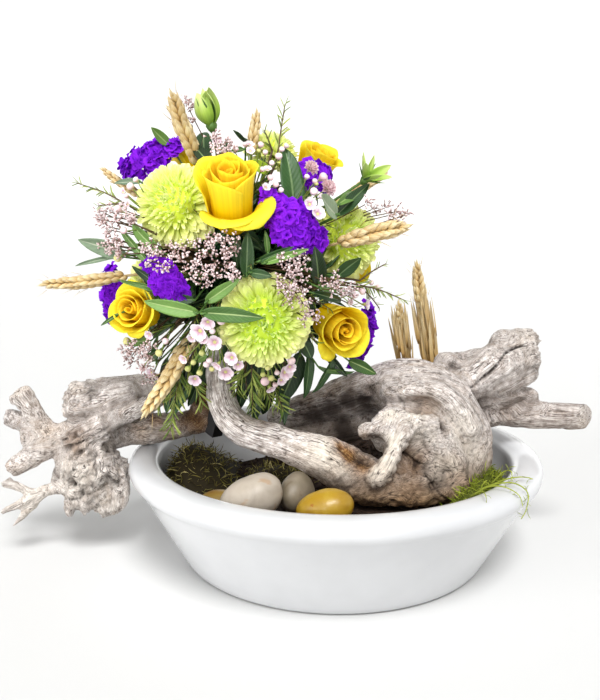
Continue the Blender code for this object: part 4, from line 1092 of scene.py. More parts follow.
# What weather and breakage did, and where painted shade darkens hollows: x, y, z, reach and push out in
# millimetres, then cream, rust and painted shade.
rootMarks = [
    (63, -80, 107, 14, -9, 0, 0.7, 0.6),  # brown cavity under the ridge, darkened further with painted shade
    (66, -77, 104, 7.5, -5, 0, 0, 1.3), (56, -79, 113, 6, -4, 0, 0, 1.2), (73, -81, 99, 6, -4, 0, 0, 1.1),
    (61, -78, 116, 6, -3, 0.1, 0.6, 0.5), (52, -82, 102, 6, -3, 0.1, 0.6, 0.5),
    (22, -79, 109, 9, -6, 0, 0.3, 1.1),  # painted shade in the hollow between finger and lump
    (16.4, -78, 125, 4, -4, 0, 0, 0.9),  # painted shade in a small hole in the lump
    (77, -42, 140, 15, -10, 0.35, 0.4, 0.15),  # scooped cavity behind the ridge, with a little painted shade
    (70, -43, 139, 5.5, -3, 0, 0.3, 0.9), (77, -85, 85, 10, -7, 0, 0.3, 0.85),
    (84, -83, 90, 13, -5.5, 0, 0.2, 0.7),  # painted shade in a hollow low on the right
    (100, -48, 110, 10, -3, 0.6, 0.2, 0.35),
    (30, -78, 118, 11, -6, 0, 0.3, 1),  # painted shade in the gap where branch meets burl
    (108, 0, 170, 5, -4, 0, 0.2, 1.3),  # knothole, darkened with painted shade
    (-2, 8, 141, 7, -3, 0.2, 0.4, 0.9),  # ring of a lost twig on the arch, darkened with painted shade
    (-10, -87, 114, 17, 1.2, 1.1, 0, 0),  # stripped pale strip
    (2, -90, 103, 14, 1, 0.7, 0.1, 0),
    (12, -81, 115, 15, -3, 0.1, 1.2, 0.25),  # torn, rusty edge, with some painted shade
    (20, -80, 104, 13, -2, 0.2, 1.1, 0.2), (4, -78, 122, 9, -2, 0, 1.2, 0.3),
    (36, -84, 86, 20, 0, 0.15, 0.45, 0.24), (56, -90, 82, 20, 1, 0.1, 0.5, 0.28),
    (96, -78, 85, 18, 1, 0.15, 0.45, 0.24),
    (53, -69, 140, 12, 2, 0.5, 0, 0),  # pale ridge
    (31, -97, 100, 12, 1, 1.1, 0, 0),  # bleached finger
    (37, -94, 111, 11, 0.5, 1.1, 0, 0), (45, -88, 124, 11, 0, 1, 0, 0),
    (89, -64, 132, 6.5, -4, 0, 0.3, 1),  # painted shade in a small pocket right of the cavity
    (82, -56, 137, 5, -2, 0, 0.4, 0.7),
    (90, -82, 100, 16, 1.2, 0.85, 0.2, 0),  # peeled patch low on the right
    (108, -56, 126, 22, 0, 0.55, 0, 0),  # pale dome
    (112, -54, 108, 20, 0, 0.5, 0, 0), (70, -74, 124, 16, 0, 0.6, 0, 0),
    (-60, -52, 138, 16, -1, 0.2, 0.55, 0.2),  # bark left on the branch, with some painted shade
    (-30, -58, 130, 14, -1.5, 0.1, 0.6, 0.25),
    (233, 12, 118, 10, 0, 0.75, 0, 0),  # sawn end
    (176, 16, 184, 22, 1.5, 0.5, 0.1, 0),
    (60, -66, 136, 14, 0, 1, 0, 0),  # bleached ridge
    (44, -68, 138, 10, 1, 1, 0, 0),
    (-18, 17, 117, 22, -3, 0, 0.2, 1.1),  # painted shade in the hollow under the arch
    (-4, 10, 124, 22, -4, 0, 0.2, 1.1), (10, -2, 133, 20, -5, 0, 0.2, 1.1),
    (24, -10, 136, 18, -5, 0, 0.2, 1.1), (28, -12, 122, 20, -3, 0, 0.2, 1.1),
    (31, -14, 150, 10, -3, 0, 0.3, 0.8), (14, -3, 147, 11, -1, 0, 0.3, 0.7),
    (-4, 10, 141, 14, 0, 0, 0.3, 0.55), (-24, 22, 126, 16, 0, 0, 0.3, 0.6),
    (10, 10, 104, 24, 0, 0, 0.2, 1.1), (34, 0, 104, 22, 0, 0, 0.2, 1.1),
    (34, -20, 134, 12, -4, 0, 0.2, 0.75),
    (165, 2, 128, 26, 0, 0, 0.2, 0.34),  # stub darkened with painted shade
    (205, 0, 116, 24, 0, 0, 0.15, 0.28),
    (130, -4, 132, 12, -3, 0, 0.2, 0.8),  # painted shade in the fork between the stubs
]
leftMarks = [
    (-224, -34, 72, 34, 0, 0.55, 0, 0),  # bleached gnarl and twigs
    (-206, -30, 50, 24, 0, 0.35, 0, 0), (-268, -28, 56, 30, 0, 0.5, 0, 0),
    (-256, -12, 108, 22, 0, 0.3, 0.15, 0),
    (-118, 0, 146, 30, 0, 0, 1.2, 0.8),  # red-brown bark on the upright, darkened with painted shade
    (-126, 0, 120, 18, 0, 0, 1.1, 0.65), (-162, -6, 122, 12, 1.5, 0.2, 0.9, 0.1),
    (-176, -6, 110, 13, 0, 0.3, 0.5, 0), (-150, -4, 106, 14, 0, 0.1, 0.5, 0.2),
    (-212, -20, 98, 11, 3, 0.95, 0.1, 0),  # cream crust on the gnarl, and painted shade in the pockets beside it
    (-208, -30, 86, 9, 4, 0.85, 0.1, 0), (-222, -38, 78, 9, 3, 0.5, 0, 0),
    (-232, -40, 72, 7, -5, 0, 0.1, 0.8), (-218, -36, 62, 7, -4, 0, 0.1, 0.6),
    (-226, -32, 108, 14, -1, 0, 0.55, 0.25),  # splintered end of the diagonal, with some painted shade
    (-230, -4, 150, 10, 3, 0.5, 0, 0), (-240, -4, 141, 8, 3, 0.4, 0.1, 0),
    (-216, -12, 148, 7, -3, 0.2, 0, 0.5), (-284, -4, 146, 9, 1, 0.6, 0.1, 0),
    (-294, -13, 73, 9, 0, 0.2, 0.6, 0),  # broken pink-brown end
    (-196, -16, 118, 10, -3, 0, 0.2, 0.5),
]
# Long checks and seams on the front, in millimetres: how far forward, half width, depth and points (x, z).
slits = metres([
    (-4, 0.7, 3, [(116, 146), (126, 157), (141, 168), (153, 182), (165, 187), (172, 187)]),
    (-4, 0.37, 0.75, [(122, 153), (136, 162), (148, 175)]),
    (-40, 0.5, 1, [(75, 154), (87, 151), (96, 140), (103, 126)]),
    (-30, 0.31, 0.6, [(26, 175), (42, 173), (60, 168), (73, 162)]),
    (-30, 0.56, 1.1, [(28, 152), (37, 157), (47, 155), (58, 143), (61, 134)]),
    (-30, 0.37, 0.8, [(90, 164), (104, 154), (117, 141), (130, 123)]),
    (-45, 0.25, 0.5, [(95, 150), (107, 136), (115, 117), (117, 97)]),
    (-35, 0.25, 0.5, [(48, 171), (65, 160), (77, 158), (95, 150), (107, 137)]),
    (-35, 0.37, 0.7, [(38, 148), (49, 142), (56, 132)]),
    (-60, 0.37, 0.7, [(78, 114), (92, 109), (104, 98), (111, 84)]),
    (-75, 0.56, 1.25, [(71, 100), (81, 91), (85, 79), (95, 72)]),
    (-80, 0.37, 0.75, [(-6, 91), (5, 83), (12, 72)]),
    (-85, 0.37, 0.9, [(28, 74), (38, 79), (49, 76), (64, 74)]),
    (-80, 0.5, 1.1, [(-2, 124), (8, 113), (20, 105)]),
    (-80, 0.37, 0.9, [(1, 129), (11, 119), (18, 113)]),
    (-80, 0.37, 0.8, [(-2, 110), (7, 103), (15, 100)]),
    (-32, 0.56, 1.5, [(-198, 121), (-218, 110), (-238, 100)]),
    (-32, 0.43, 1.25, [(-202, 126), (-222, 116), (-242, 107)]),
    (-32, 0.37, 1, [(-192, 119), (-210, 107), (-226, 96)]),
    (-34, 0.56, 1.5, [(-209, 99), (-212, 88), (-208, 73)]),
    (-34, 0.43, 1.25, [(-197, 90), (-199, 79), (-197, 71)]),
    (-34, 0.62, 1.5, [(-238, 55), (-226, 57), (-222, 66)]),
    (-34, 0.43, 1, [(-215, 55), (-210, 49), (-208, 59)]),
    (-12, 0.43, 1, [(-222, 148), (-217, 144), (-219, 137), (-224, 138)]),
    (-12, 0.25, 0.5, [(-191, 155), (-183, 148), (-172, 144)]),
])
# Sawn and broken ends and split faces: place, direction, reach and raggedness, in millimetres.
cuts = {
    "driftwood_root": [((232, 12, 115), (0.66, -0.75, 0.06), 30, 0.2),
        ((185, 12, 178), (0.9, -0.25, 0.15), 32, 4.5), ((150, -8, 152), (0.22, -0.86, -0.46), 34, 1)],
    "driftwood_left": [((-280.7, -2, 147.5), (-0.3, -0.3, 0.9), 20, 2.2),
        ((-294, -12, 74), (-0.8, -0.25, -0.5), 18, 1.2), ((-244, -2, 138), (-0.9, -0.3, 0.25), 16.5, 4),
        ((-301, 4, 119), (-0.95, -0.2, 0.15), 16, 1.8), ((-222, -20, 40), (-0.1, -0.3, -0.95), 16, 2.2),
        ((-201, -22, 37), (0.25, -0.35, -0.9), 16, 2.2)],
}
# Where the wood is knotty and chipped, in millimetres: place, reach and height of the chips.
crags = metres({
    "driftwood_root": [((55, -75, 100), 45, 3), ((178, 10, 176), 26, 3), ((82, -70, 82), 35, 2.8),
        ((118, 10, 165), 18, 1.8), ((10, -82, 100), 24, 1.8), ((90, -55, 128), 20, 1.2)],
    "driftwood_left": [((-234, -6, 142), 24, 4.5), ((-208, -30, 82), 34, 4.5), ((-224, -24, 50), 30, 3),
        ((-218, -28, 112), 20, 2.6), ((-282, -2, 138), 16, 2), ((-150, 0, 112), 30, 1.4)],
})
driftwood = {
    "voxel": 0.00188, "soften": 3, "pathSteps": 5, "sides": 18, "blend": 0.0035,
    # heights of the relief, and the sizes of its noise along and across the fibres
    "lump": 0.0014, "ridge": 0.0006, "crack": 0.0012, "fine": 0.0003, "fray": 0.0026,
    "ridgeSize": (0.03, 0.0042, 0.0042), "fineSize": (0.014, 0.0021, 0.0021),
    "crackSize": (0.045, 0.008, 0.008),
    "chips": [(0.003, 0.011), (0.002, 0.0055)],  # how far they are bent, and their size
    "pieces": {"driftwood_root": (rootLimbs, rootMarks, 31), "driftwood_left": (leftLimbs, leftMarks, 32)},
}


def fibreField(points, limbs):
    # metres along and across the limbs at each point, blended where limbs grow together
    depths, fields = [], []
    for number, limb in enumerate(limbs.values()):
        path = smoothPath(limb, driftwood["pathSteps"])
        ahead, sides = pathFrames(path[:, :3])
        length = pathLengths(path[:, :3])
        best = np.full(len(points), 1e9)
        field = np.zeros((len(points), 3))
        for k in range(len(path) - 1):
            along, offset = alongSegment(points, path[k, :3], path[k + 1, :3])
            depth = np.linalg.norm(offset, axis=1) - (path[k, 3] + along * (path[k + 1, 3] - path[k, 3]))
            closer = depth < best
            best[closer] = depth[closer]
            side = sides[k]
            other = np.cross(ahead[k], side)
            here = np.column_stack((length[k] + along * (length[k + 1] - length[k]) + 0.13 * number,
                                    offset @ side, offset @ other))
            field[closer] = here[closer]
        depths.append(best)
        fields.append(field)
    depths = np.array(depths)
    weights = np.exp(-(depths - depths.min(0)) / driftwood["blend"])
    weights /= weights.sum(0)
    return np.einsum("ln,lnk->nk", weights, np.array(fields))


def woodBody(name, limbs):
    # limbs as tapered tubes with rounded ends, melted into one body
    startNew()
    parts = []
    for limb in limbs.values():
        path = smoothPath(limb, driftwood["pathSteps"])
        curve = bpy.data.curves.new(name, "CURVE")
        curve.dimensions = "3D"
        curve.bevel_depth = 1.0
        curve.bevel_resolution = driftwood["sides"] // 4
        curve.use_fill_caps = True
        spline = curve.splines.new("POLY")
        spline.points.add(len(path) - 1)
        for point, (x, y, z, radius) in zip(spline.points, path):
            point.co = (x, y, z, 1)
            point.radius = radius
        parts.append(newItem(name, curve))
        for x, y, z, radius in (path[0], path[-1]):
            bpy.ops.mesh.primitive_uv_sphere_add(segments=16, ring_count=8, radius=radius * 0.98,
                                                 location=(x, y, z))
            parts.append(bpy.context.object)
    startNew()
    for part in parts:
        part.select_set(True)
    bpy.context.view_layer.objects.active = parts[0]
    bpy.ops.object.convert(target="MESH")
    bpy.ops.object.join()
    bpy.ops.object.transform_apply(location=True, rotation=True, scale=True)
    item = bpy.context.object
    item.name = name
    applyModifier(item, "REMESH", {"mode": "VOXEL", "voxel_size": driftwood["voxel"]})
    applyModifier(item, "SMOOTH", {"factor": 0.5, "iterations": driftwood["soften"]})
    return item


def chipNoise(points, size, seed):
    # flat-faced chips with creases between them, from 0 in a crease to about 1
    table = np.random.default_rng(seed).uniform(0, 1, (tableRows, 3))
    scaled = points / size
    cell = np.floor(scaled).astype(np.int64)
    nearest = np.full((2, len(points)), 1e9)
    for corner in np.ndindex(3, 3, 3):
        other = cell + np.array(corner) - 1
        away = np.linalg.norm(scaled - other - table[cellRows(other)], axis=1)
        nearest = np.sort(np.vstack((nearest, away)), axis=0)[:2]
    return nearest[1] - nearest[0]


def slitDepth(points, normals):
    # how deep the long checks cut each point; that depth later also darkens them with painted shade
    depth = np.zeros(len(points))
    flat = points[:, (0, 2)]
    wobble = 0.0007 * softNoise(points, 0.004, 77)
    for forward, width, deep, line in slits:
        away = np.full(len(points), 1e9)
        line = smoothPath(line, 5)
        for number, (a, b) in enumerate(zip(line, line[1:])):
            taper = math.sin(math.pi * (number + 1) / (len(line) + 1)) ** 0.5
            away = np.minimum(away, np.linalg.norm(alongSegment(flat, a, b)[1], axis=1) / taper)
        near = np.clip(1.35 - (away + wobble) / (width * 1.6), 0, 1)
        near *= (normals[:, 1] < 0.1) & (np.abs(points[:, 1] - forward) < 0.035)
        depth = np.maximum(depth, near * deep)
    return depth


def makeDriftwood(spec):
    for node, (limbs, marks, seed) in spec["pieces"].items():
        item = woodBody(node + "_grain", limbs)
        points = pointsOf(item)
        normals = np.empty(len(points) * 3)
        item.data.vertices.foreach_get("normal", normals)
        normals = normals.reshape(-1, 3)
        fibre = fibreField(points, limbs)
        ridges = softNoise(fibre, spec["ridgeSize"], seed)
        fine = softNoise(fibre, spec["fineSize"], seed + 1)
        cracks = 1 - np.clip(np.abs(softNoise(fibre, spec["crackSize"], seed + 2)) / 0.07, 0, 1)
        cracks *= np.clip(softNoise(points, 0.03, seed + 3) * 3 + 0.6, 0, 1)
        lumps = softNoise(points, 0.017, seed + 4) + 0.5 * softNoise(points, 0.008, seed + 5)
        push = spec["ridge"] * ridges + spec["fine"] * fine - spec["crack"] * cracks + spec["lump"] * lumps
        chips = []
        for number, (bend, size) in enumerate(spec["chips"]):
            flats = chipNoise(points + bend * lumps[:, None], size, seed + 9 + number)
            chips.append(np.clip(flats * 2.2, 0, 1) - 0.6)
        craggy = np.zeros(len(points))
        for place, reach, height in crags[node]:
            near = np.exp(-(np.linalg.norm(points - place, axis=1) / reach) ** 2)
            craggy = np.maximum(craggy, near * height)
        push += craggy * (chips[0] + 0.45 * chips[1])
        slit = slitDepth(points, normals)
        push -= slit
        wear = np.zeros((len(points), 3))
        fray = np.column_stack([softNoise(points, 0.009, seed + 6 + k) for k in range(3)])
        frayed = points + spec["fray"] * fray
        for *lengths, cream, rust, paintedShade in marks:
            *place, reach, out = metres(lengths)
            near = np.exp(-(np.linalg.norm(frayed - place, axis=1) / reach) ** 2 * 1.4)
            push += out * near
            wear = np.maximum(wear, near[:, None] * (cream, rust, paintedShade))
        creases = np.clip(-(chips[0] + 0.45) * 6, 0, 1) * np.clip(craggy / 0.0025, 0, 1)
        # painted shade: cracks, chip creases and the long checks are darkened as well as the marked hollows
        wear[:, 2] = np.clip(wear[:, 2] + 0.55 * cracks + 0.65 * creases + slit / 0.0022, 0, 0.94)
        points = points + normals * push[:, None]
        for place, direction, reach, ragged in cuts[node]:
            place, reach, ragged = metres((place, reach, ragged))
            direction = unit(np.array(direction))
            rough = ragged * (softNoise(points, 0.0045, seed + 12) + 0.7 * softNoise(points, 0.002, 9))
            beyond = (points - place) @ direction - rough
            beyond *= (beyond > 0) & (np.linalg.norm(points - place, axis=1) < reach)
            points = points - beyond[:, None] * direction
        if node == "driftwood_root":
            points[:, 2] = np.maximum(points[:, 2], soilTop + 0.0003)
        else:
            points = clearOfBowl(points, 0.0003)
        setPoints(item, points)
        setVectors(item, "fibre", fibre)
        setVectors(item, "wear", wear)
        finishPiece(item, ["wood"], [node])
        print(node, len(item.data.polygons))


# flower heads
# how far over its middle a solid head is widest, in sizes, and how wide it is there
solidHeads = {"rose": (0.15, 1.07), "mum": (0.06, 1.05), "statice": (0.05, 1.16), "bud": (0, 1)}


def cadHead(node, widest, swell):
    # the place of a head in the solid model: its axes, the height of its middle and its size
    points = np.array([v.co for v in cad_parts[node].data.vertices]) - foamCentre
    reach = np.linalg.norm(points, axis=1)
    out = unit(points[reach < 0.0315].mean(0))
    azimuth = math.degrees(math.atan2(out[0], -out[1]))
    elevation = math.degrees(math.asin(out[2]))
    height = points @ out
    radius = np.linalg.norm(points - height[:, None] * out, axis=1)
    size = radius.max() / swell
    middle = height[radius > radius.max() * 0.97].mean() - widest * size
    return azimuth, elevation, middle, size


def headPlace(node, spec, widest, swell):
    # where a head's own Z axis starts and points: its face may look another way than its stem
    azimuth, elevation, middle, size = cadHead(node, widest, swell)
    stem = facing(azimuth, elevation)[:, 2]
    turn = facing(*spec.get("face", (azimuth, elevation)))
    centre = foamCentre + stem * middle + spec.get("shift", (0, 0, 0))
    return stem, centre, turn, size * spec.get("grow", 1.0)


def stemTube(stem, end, radius):
    # a stem from the foam to a point
    start = foamCentre + stem * 0.03
    return tubeShape(smoothPath([start, (start + end) / 2, end], 5), radius, 6)


# roses
# open: 0 a bud, 1 full blown; lips: petals that fold right out, as (heading, rim's lean, wrap, length)
roses = {
    "rose_front": {"face": (0, 51), "open": 0.06, "grow": 1.4, "slim": 0.96, "tall": 1.18,
                   "shift": (-0.004, 0.0, -0.007), "roll": 205, "seed": 5,
                   "lips": [(-50, 128, 52, 0.86), (-98, 112, 50, 0.8)], "lipTurn": 0.34},
    "rose_left": {"face": (-22, 14), "open": 0.45, "grow": 0.98, "tall": 1.1, "roll": 60, "seed": 9,
                  "lips": [(-70, 120, 40, 0.95), (100, 95, 60, 1.0)]},
    "rose_right": {"face": (24, -8), "open": 0.1, "grow": 1.28, "tall": 1.08, "roll": 14, "seed": 4,
                   "lips": [(-125, 100, 30, 0.95)]},
    "rose_top": {"face": (48, 56), "open": 0.55, "grow": 1.22, "roll": 120, "seed": 12, "lips": []},
    "rose_back_left": {"open": 0.7, "roll": 0, "seed": 15, "lips": [(30, 110, 45, 1.0)]},
    "rose_back_right": {"open": 0.6, "roll": 30, "seed": 17, "lips": []},
}
# how a petal is built from the heart (0) to the outside (1); leans in degrees from upright
petalStages = {
    "share":  [0.00, 0.25, 0.5, 0.75, 1.00],
    "foot":   [0.03, 0.07, 0.1, 0.13, 0.16],
    "start":  [9, 30, 46, 58, 66],
    "wall":   [-2, -3, 0, 4, 8],
    "rim":    [4, 8, 14, 24, 38],
    "full":   [0, 14, 34, 58, 80],
    "turn":   [0.85, 0.82, 0.78, 0.74, 0.7],
    "wrap":   [165, 130, 98, 84, 74],
    "length": [1.46, 1.58, 1.68, 1.72, 1.7],
    "drop":   [0.05, 0.09, 0.13, 0.17, 0.2],
}
rosePetals = {"count": 11, "across": 15, "along": 15, "thickness": 0.00035, "sepals": 5, "stem": 0.0018}


def rosePetal(along, across, stage, angle, dice):
    # a sheet wrapped round the rose's axis whose lean is integrated from foot to rim
    early = ease(arcSteps / 0.38)
    late = np.clip((arcSteps - stage["turn"]) / (1 - stage["turn"]), 0, 1) ** 1.2
    lean = np.radians(stage["start"] + (stage["wall"] - stage["start"]) * early
                      + (stage["rim"] - stage["wall"]) * late)
    radius = stage["foot"] + np.cumsum(np.sin(lean)) / len(lean) * stage["length"]
    height = np.cumsum(np.cos(lean)) / len(lean) * stage["length"]
    reached = along * (1 - stage["drop"] * np.abs(across) ** 2.6)
    reached = reached + 0.03 * np.exp(-(across / 0.14) ** 2) * along ** 6 - 0.03 * along
    phase = dice.uniform(0, 6.28)
    spiral = stage["spiral"] * (across + 0.35 * np.abs(across) ** 3)
    r = np.interp(reached, arcSteps, radius) * (1 + spiral)
    r = r + stage["frill"] * along ** 4 * np.sin(across * 3.6 + phase)
    width = 0.42 + 0.58 * np.sin(np.pi / 2 * np.clip(along / 0.5, 0, 1))
    z = np.interp(reached, arcSteps, height) + stage["frill"] * along ** 4 * np.cos(across * 3.1 + phase)
    turn = angle + math.radians(stage["wrap"]) * across * width
    return np.column_stack((r * np.cos(turn), r * np.sin(turn), z))


def makeRoses(spec):
    startNew()
    bpy.ops.mesh.primitive_grid_add(x_subdivisions=rosePetals["across"],
                                    y_subdivisions=rosePetals["along"], size=2)
    sheet = takeShape(bpy.context.object)
    across, along = sheet["points"][:, 0], (sheet["points"][:, 1] + 1) / 2
    sepal = bladeShape(columns=4, rows=8, length=0.9, width=0.3, foot=0.35, tip=1.1, base=0.5, curl=-1.2,
                       cup=0.35, thickness=0.02)
    hip = turnedShape([(0, -0.3), (0.1, -0.26), (0.2, -0.12), (0.23, 0.0), (0.16, 0.08), (0, 0.1)], 14)
    for node, part in spec.items():
        dice = np.random.default_rng(part["seed"])
        stem, centre, turn, size = headPlace(node, part, *solidHeads["rose"])
        base = centre - turn[:, 2] * size * 0.86
        petals = []
        for index in range(rosePetals["count"]):
            share = index / (rosePetals["count"] - 1)
            stage = {key: np.interp(share, petalStages["share"], row) for key, row in petalStages.items()}
            stage["rim"] += stage["full"] * part["open"] + dice.normal() * 8 * share
            stage["wall"] += dice.normal() * 1.6 + 9 * part["open"] * share
            stage["length"] *= 1 + dice.normal() * 0.025
            angle = index * golden + math.radians(part["roll"]) + dice.normal() * 0.1
            petals.append((share, angle, stage))
        for heading, rim, wrap, length in part["lips"]:
            stage = {key: row[-1] for key, row in petalStages.items()}
            stage.update(rim=rim, wall=10, turn=part.get("lipTurn", 0.62), wrap=wrap)
            stage["length"] *= length
            petals.append((1.06, math.radians(heading), stage))
        pile = []
        for share, angle, stage in petals:
            stage["spiral"] = 0.34 * (1 - min(share, 1)) ** 2 + 0.06
            stage["frill"] = 0.028 * share
            points = rosePetal(along, across, stage, angle, dice)
            points = points * (part.get("slim", 1), part.get("slim", 1), part.get("tall", 1))
            blade = np.column_stack((along, across, np.zeros(len(along))))
            petal = {**sheet, "points": points * size * (1 + 0.02 * max(share - 1, 0)), "blade": blade}
            depth = 1.1 * max(1 - share, 0) ** 1.3 + dice.uniform(0, 0.12)
            pile.append((petal, whole(turn, base), depth, 0))
        angles = np.arange(rosePetals["sepals"]) * 2 * math.pi / rosePetals["sepals"] + dice.uniform(0, 6)
        outwards = around(angles, np.full(len(angles), 1.75)) @ turn.T
        pile.append((sepal, standing(base + outwards * size * 0.1, outwards, turn[:, 2], size), 0.5, 1))
        pile.append((hip, whole(turn * size, base), 0.3, 1))
        pile.append((stemTube(stem, base - turn[:, 2] * size * 0.2, rosePetals["stem"]), noMove, 0.4, 1))
        piece = makePiece(node + "_bloom", pile, ["rose", "leaf"], [node])
        applyModifier(piece, "SOLIDIFY", {"thickness": rosePetals["thickness"], "offset": 0.0})
    print("roses")


# pompon chrysanthemums
mums = {
    "mum_left": {"face": (-16, 16), "grow": 1.14, "spoon": 0.2, "green": 0.45, "seed": 41},
    "mum_front": {"face": (4, -2), "grow": 1.14, "spoon": 0.22, "green": 1.1, "seed": 42},
    "mum_right": {"face": (30, 10), "grow": 1.2, "spoon": 0.2, "green": 0.6, "seed": 43},
    "mum_top": {"face": (100, 58), "grow": 1.05, "spoon": 0.22, "green": 0.4, "seed": 44},
    "mum_back": {"spoon": 0.24, "green": 0.6, "seed": 45},
    "mum_back_left": {"spoon": 0.24, "green": 0.6, "seed": 46},
}
mumFlorets = {"count": 445, "cone": 112, "cushion": 0.2, "depth": 0.24, "stem": 0.0021}


def makeMums(spec):
    hearts = [bladeShape(columns=2, rows=6, length=1.0, width=0.075, foot=0.7, tip=0.4, base=0.4, curl=curl,
                         cup=1.2) for curl in (0.9, 0.3)]
    middles = [bladeShape(columns=4, rows=6, length=1.0, width=0.12, foot=0.8, tip=0.3, base=0.35,
                          curl=curl, cup=1.0, blunt=1.7) for curl in (0.65, 0.3)]
    # the inner florets as one turned body, under the ones that stand out
    core = turnedShape([(0, -0.34), (0.3, -0.32), (0.56, -0.16), (0.6, 0.06), (0.5, 0.26), (0.26, 0.38),
                        (0, 0.42)], 20)
    core["blade"][:] = (0.45, 0.0, 0.0)
    for node, part in spec.items():
        dice = np.random.default_rng(part["seed"])
        stem, centre, turn, size = headPlace(node, part, *solidHeads["mum"])
        outers = [bladeShape(columns=4, rows=6, length=1.0, width=part["spoon"], foot=0.9, tip=0.24,
                             base=0.3, curl=curl, cup=0.75, late=1.6, blunt=1.9)
                  for curl in (-0.3, 0.25)]
        shapes = hearts + middles + outers
        index = np.arange(mumFlorets["count"])
        q = np.sqrt((index + 0.5) / mumFlorets["count"])
        lean = np.radians(mumFlorets["cone"]) * q ** 1.05 + dice.normal(size=len(q)) * 0.05
        outwards = around(index * golden + dice.normal(size=len(q)) * 0.08, lean) @ turn.T
        flat = outwards - (outwards @ turn[:, 2])[:, None] * turn[:, 2]
        origins = centre - turn[:, 2] * size * (mumFlorets["depth"] - 0.1 * (1 - q[:, None])) \
            + unit(flat) * size * mumFlorets["cushion"] * q[:, None]
        lengths = size * (0.78 + 0.14 * q) * dice.uniform(0.9, 1.07, len(q))
        group = np.digitize(q, (0.3, 0.66)) * 2 + index % 2
        tints = part["green"] * np.clip(1.0 - 1.25 * q, 0, 1) + dice.uniform(0, 0.12, len(q))
        pile = []
        for number, shape in enumerate(shapes):
            mine = group == number
            places = standing(origins[mine], outwards[mine], turn[:, 2], lengths[mine],
                              dice.normal(size=mine.sum()) * 0.15)
            pile.append((shape, places, tints[mine], 0))
        calyx = turnedShape([(0, -0.72), (0.12, -0.68), (0.3, -0.54), (0.36, -0.38), (0.25, -0.26),
                             (0, -0.24)], 16)
        pile.append((calyx, whole(turn * size, centre), 0.4, 1))
        pile.append((core, whole(turn * size, centre), 0.5 * part["green"], 0))
        pile.append((stemTube(stem, centre - turn[:, 2] * size * 0.7, mumFlorets["stem"]), noMove, 0.4, 1))
        makePiece(node + "_bloom", pile, ["mum", "stem"], [node])
    print("chrysanthemums")


# statice
statices = {
    "statice_top_left": {"face": (-40, 42), "wide": (1.55, 0.8), "roll": 25, "seed": 51},
    "statice_front": {"face": (24, 18), "wide": (1.42, 0.76), "roll": -42, "seed": 52,
                      "shift": (-0.004, 0, 0)},
    "statice_left": {"face": (-24, 4), "wide": (1.45, 0.62), "roll": -38, "seed": 53,
                     "shift": (-0.004, 0, -0.003)},
    "statice_low_left": {"face": (-60, -4), "wide": (1.55, 0.9), "roll": 80, "seed": 54},
    "statice_right": {"face": (66, -14), "wide": (1.7, 0.8), "roll": 85, "seed": 55,
                      "shift": (0.009, -0.004, -0.015)},
    "statice_top_right": {"face": (52, 40), "wide": (1.5, 0.8), "roll": 15, "seed": 56},
    "statice_back": {"wide": (1.4, 0.9), "roll": 20, "seed": 57},
}
staticeSpray = {"florets": 160, "funnel": 0.0048, "crumple": (0.55, 0.34), "dome": 0.42, "branches": 9,
                "stem": 0.0015}


def makeStatice(spec):
    # two crumpled paper funnels
    funnels = [turnedShape([(0, 0), (0.12, 0.3), (0.34, 0.72), (0.66, 0.95), (0.8, 0.88)], 13),
               turnedShape([(0, 0), (0.1, 0.4), (0.3, 0.85), (0.56, 1.05), (0.74, 1.12)], 13)]
    wide, tall = staticeSpray["crumple"]
    for number, funnel in enumerate(funnels):
        points = funnel["points"]
        crumple = softNoise(points, (0.22, 0.22, 0.5), 140 + number)
        high = np.clip(points[:, 2], 0, 1) ** 2
        points[:, :2] *= (1 + wide * high * crumple)[:, None]
        points[:, 2] += tall * high * softNoise(points, (0.2, 0.2, 0.5), 150 + number)
    for node, part in spec.items():
        dice = np.random.default_rng(part["seed"])
        stem, centre, turn, size = headPlace(node, part, *solidHeads["statice"])
        roll = math.radians(part["roll"])
        along = turn[:, 0] * math.cos(roll) + turn[:, 1] * math.sin(roll)
        other = np.cross(turn[:, 2], along)
        count, branches = staticeSpray["florets"], staticeSpray["branches"]
        q = np.sqrt((np.arange(count) + 0.5) / count)
        angle = np.arange(count) * golden
        x = q * np.cos(angle) * part["wide"][0] * (1 + 0.1 * np.sin(3 * angle))
        y = q * np.sin(angle) * part["wide"][1] * (1 + 0.12 * np.sin(4 * angle + 1))
        rise = staticeSpray["dome"] * (1 - q ** 2) + dice.normal(size=count) * 0.07
        spots = centre + size * (x[:, None] * along + y[:, None] * other + rise[:, None] * turn[:, 2])
        outwards = unit(turn[:, 2] * 0.9 + along * x[:, None] * 0.6 + other * y[:, None] * 0.9
                        + dice.normal(size=(count, 3)) * 0.22)
        scales = staticeSpray["funnel"] * dice.uniform(0.85, 1.4, count)
        pile = []
        for number, funnel in enumerate(funnels):
            mine = np.arange(count) % 2 == number
            places = standing(spots[mine] - outwards[mine] * scales[mine, None] * 0.7, outwards[mine],
                              dice.normal(size=(mine.sum(), 3)), scales[mine])
            pile.append((funnel, places, dice.uniform(0, 0.9, mine.sum()), 0))
        fork = centre - turn[:, 2] * size * 0.9
        radii = (0.001, 0.0009, 0.0009, 0.0008, 0.0008, 0.0007, 0.0006)
        for k in range(branches):
            chosen = k * count // branches + 4
            tip = spots[chosen] - outwards[chosen] * 0.004
            path = smoothPath([fork, (fork + tip) / 2 - turn[:, 2] * 0.001, tip], 3)
            pile.append((tubeShape(path, radii, 5), noMove, 0.5, 1))
        pile.append((stemTube(stem, fork, staticeSpray["stem"]), noMove, 0.4, 1))
        makePiece(node + "_spray", pile, ["statice", "stem"], [node])
    print("statice")


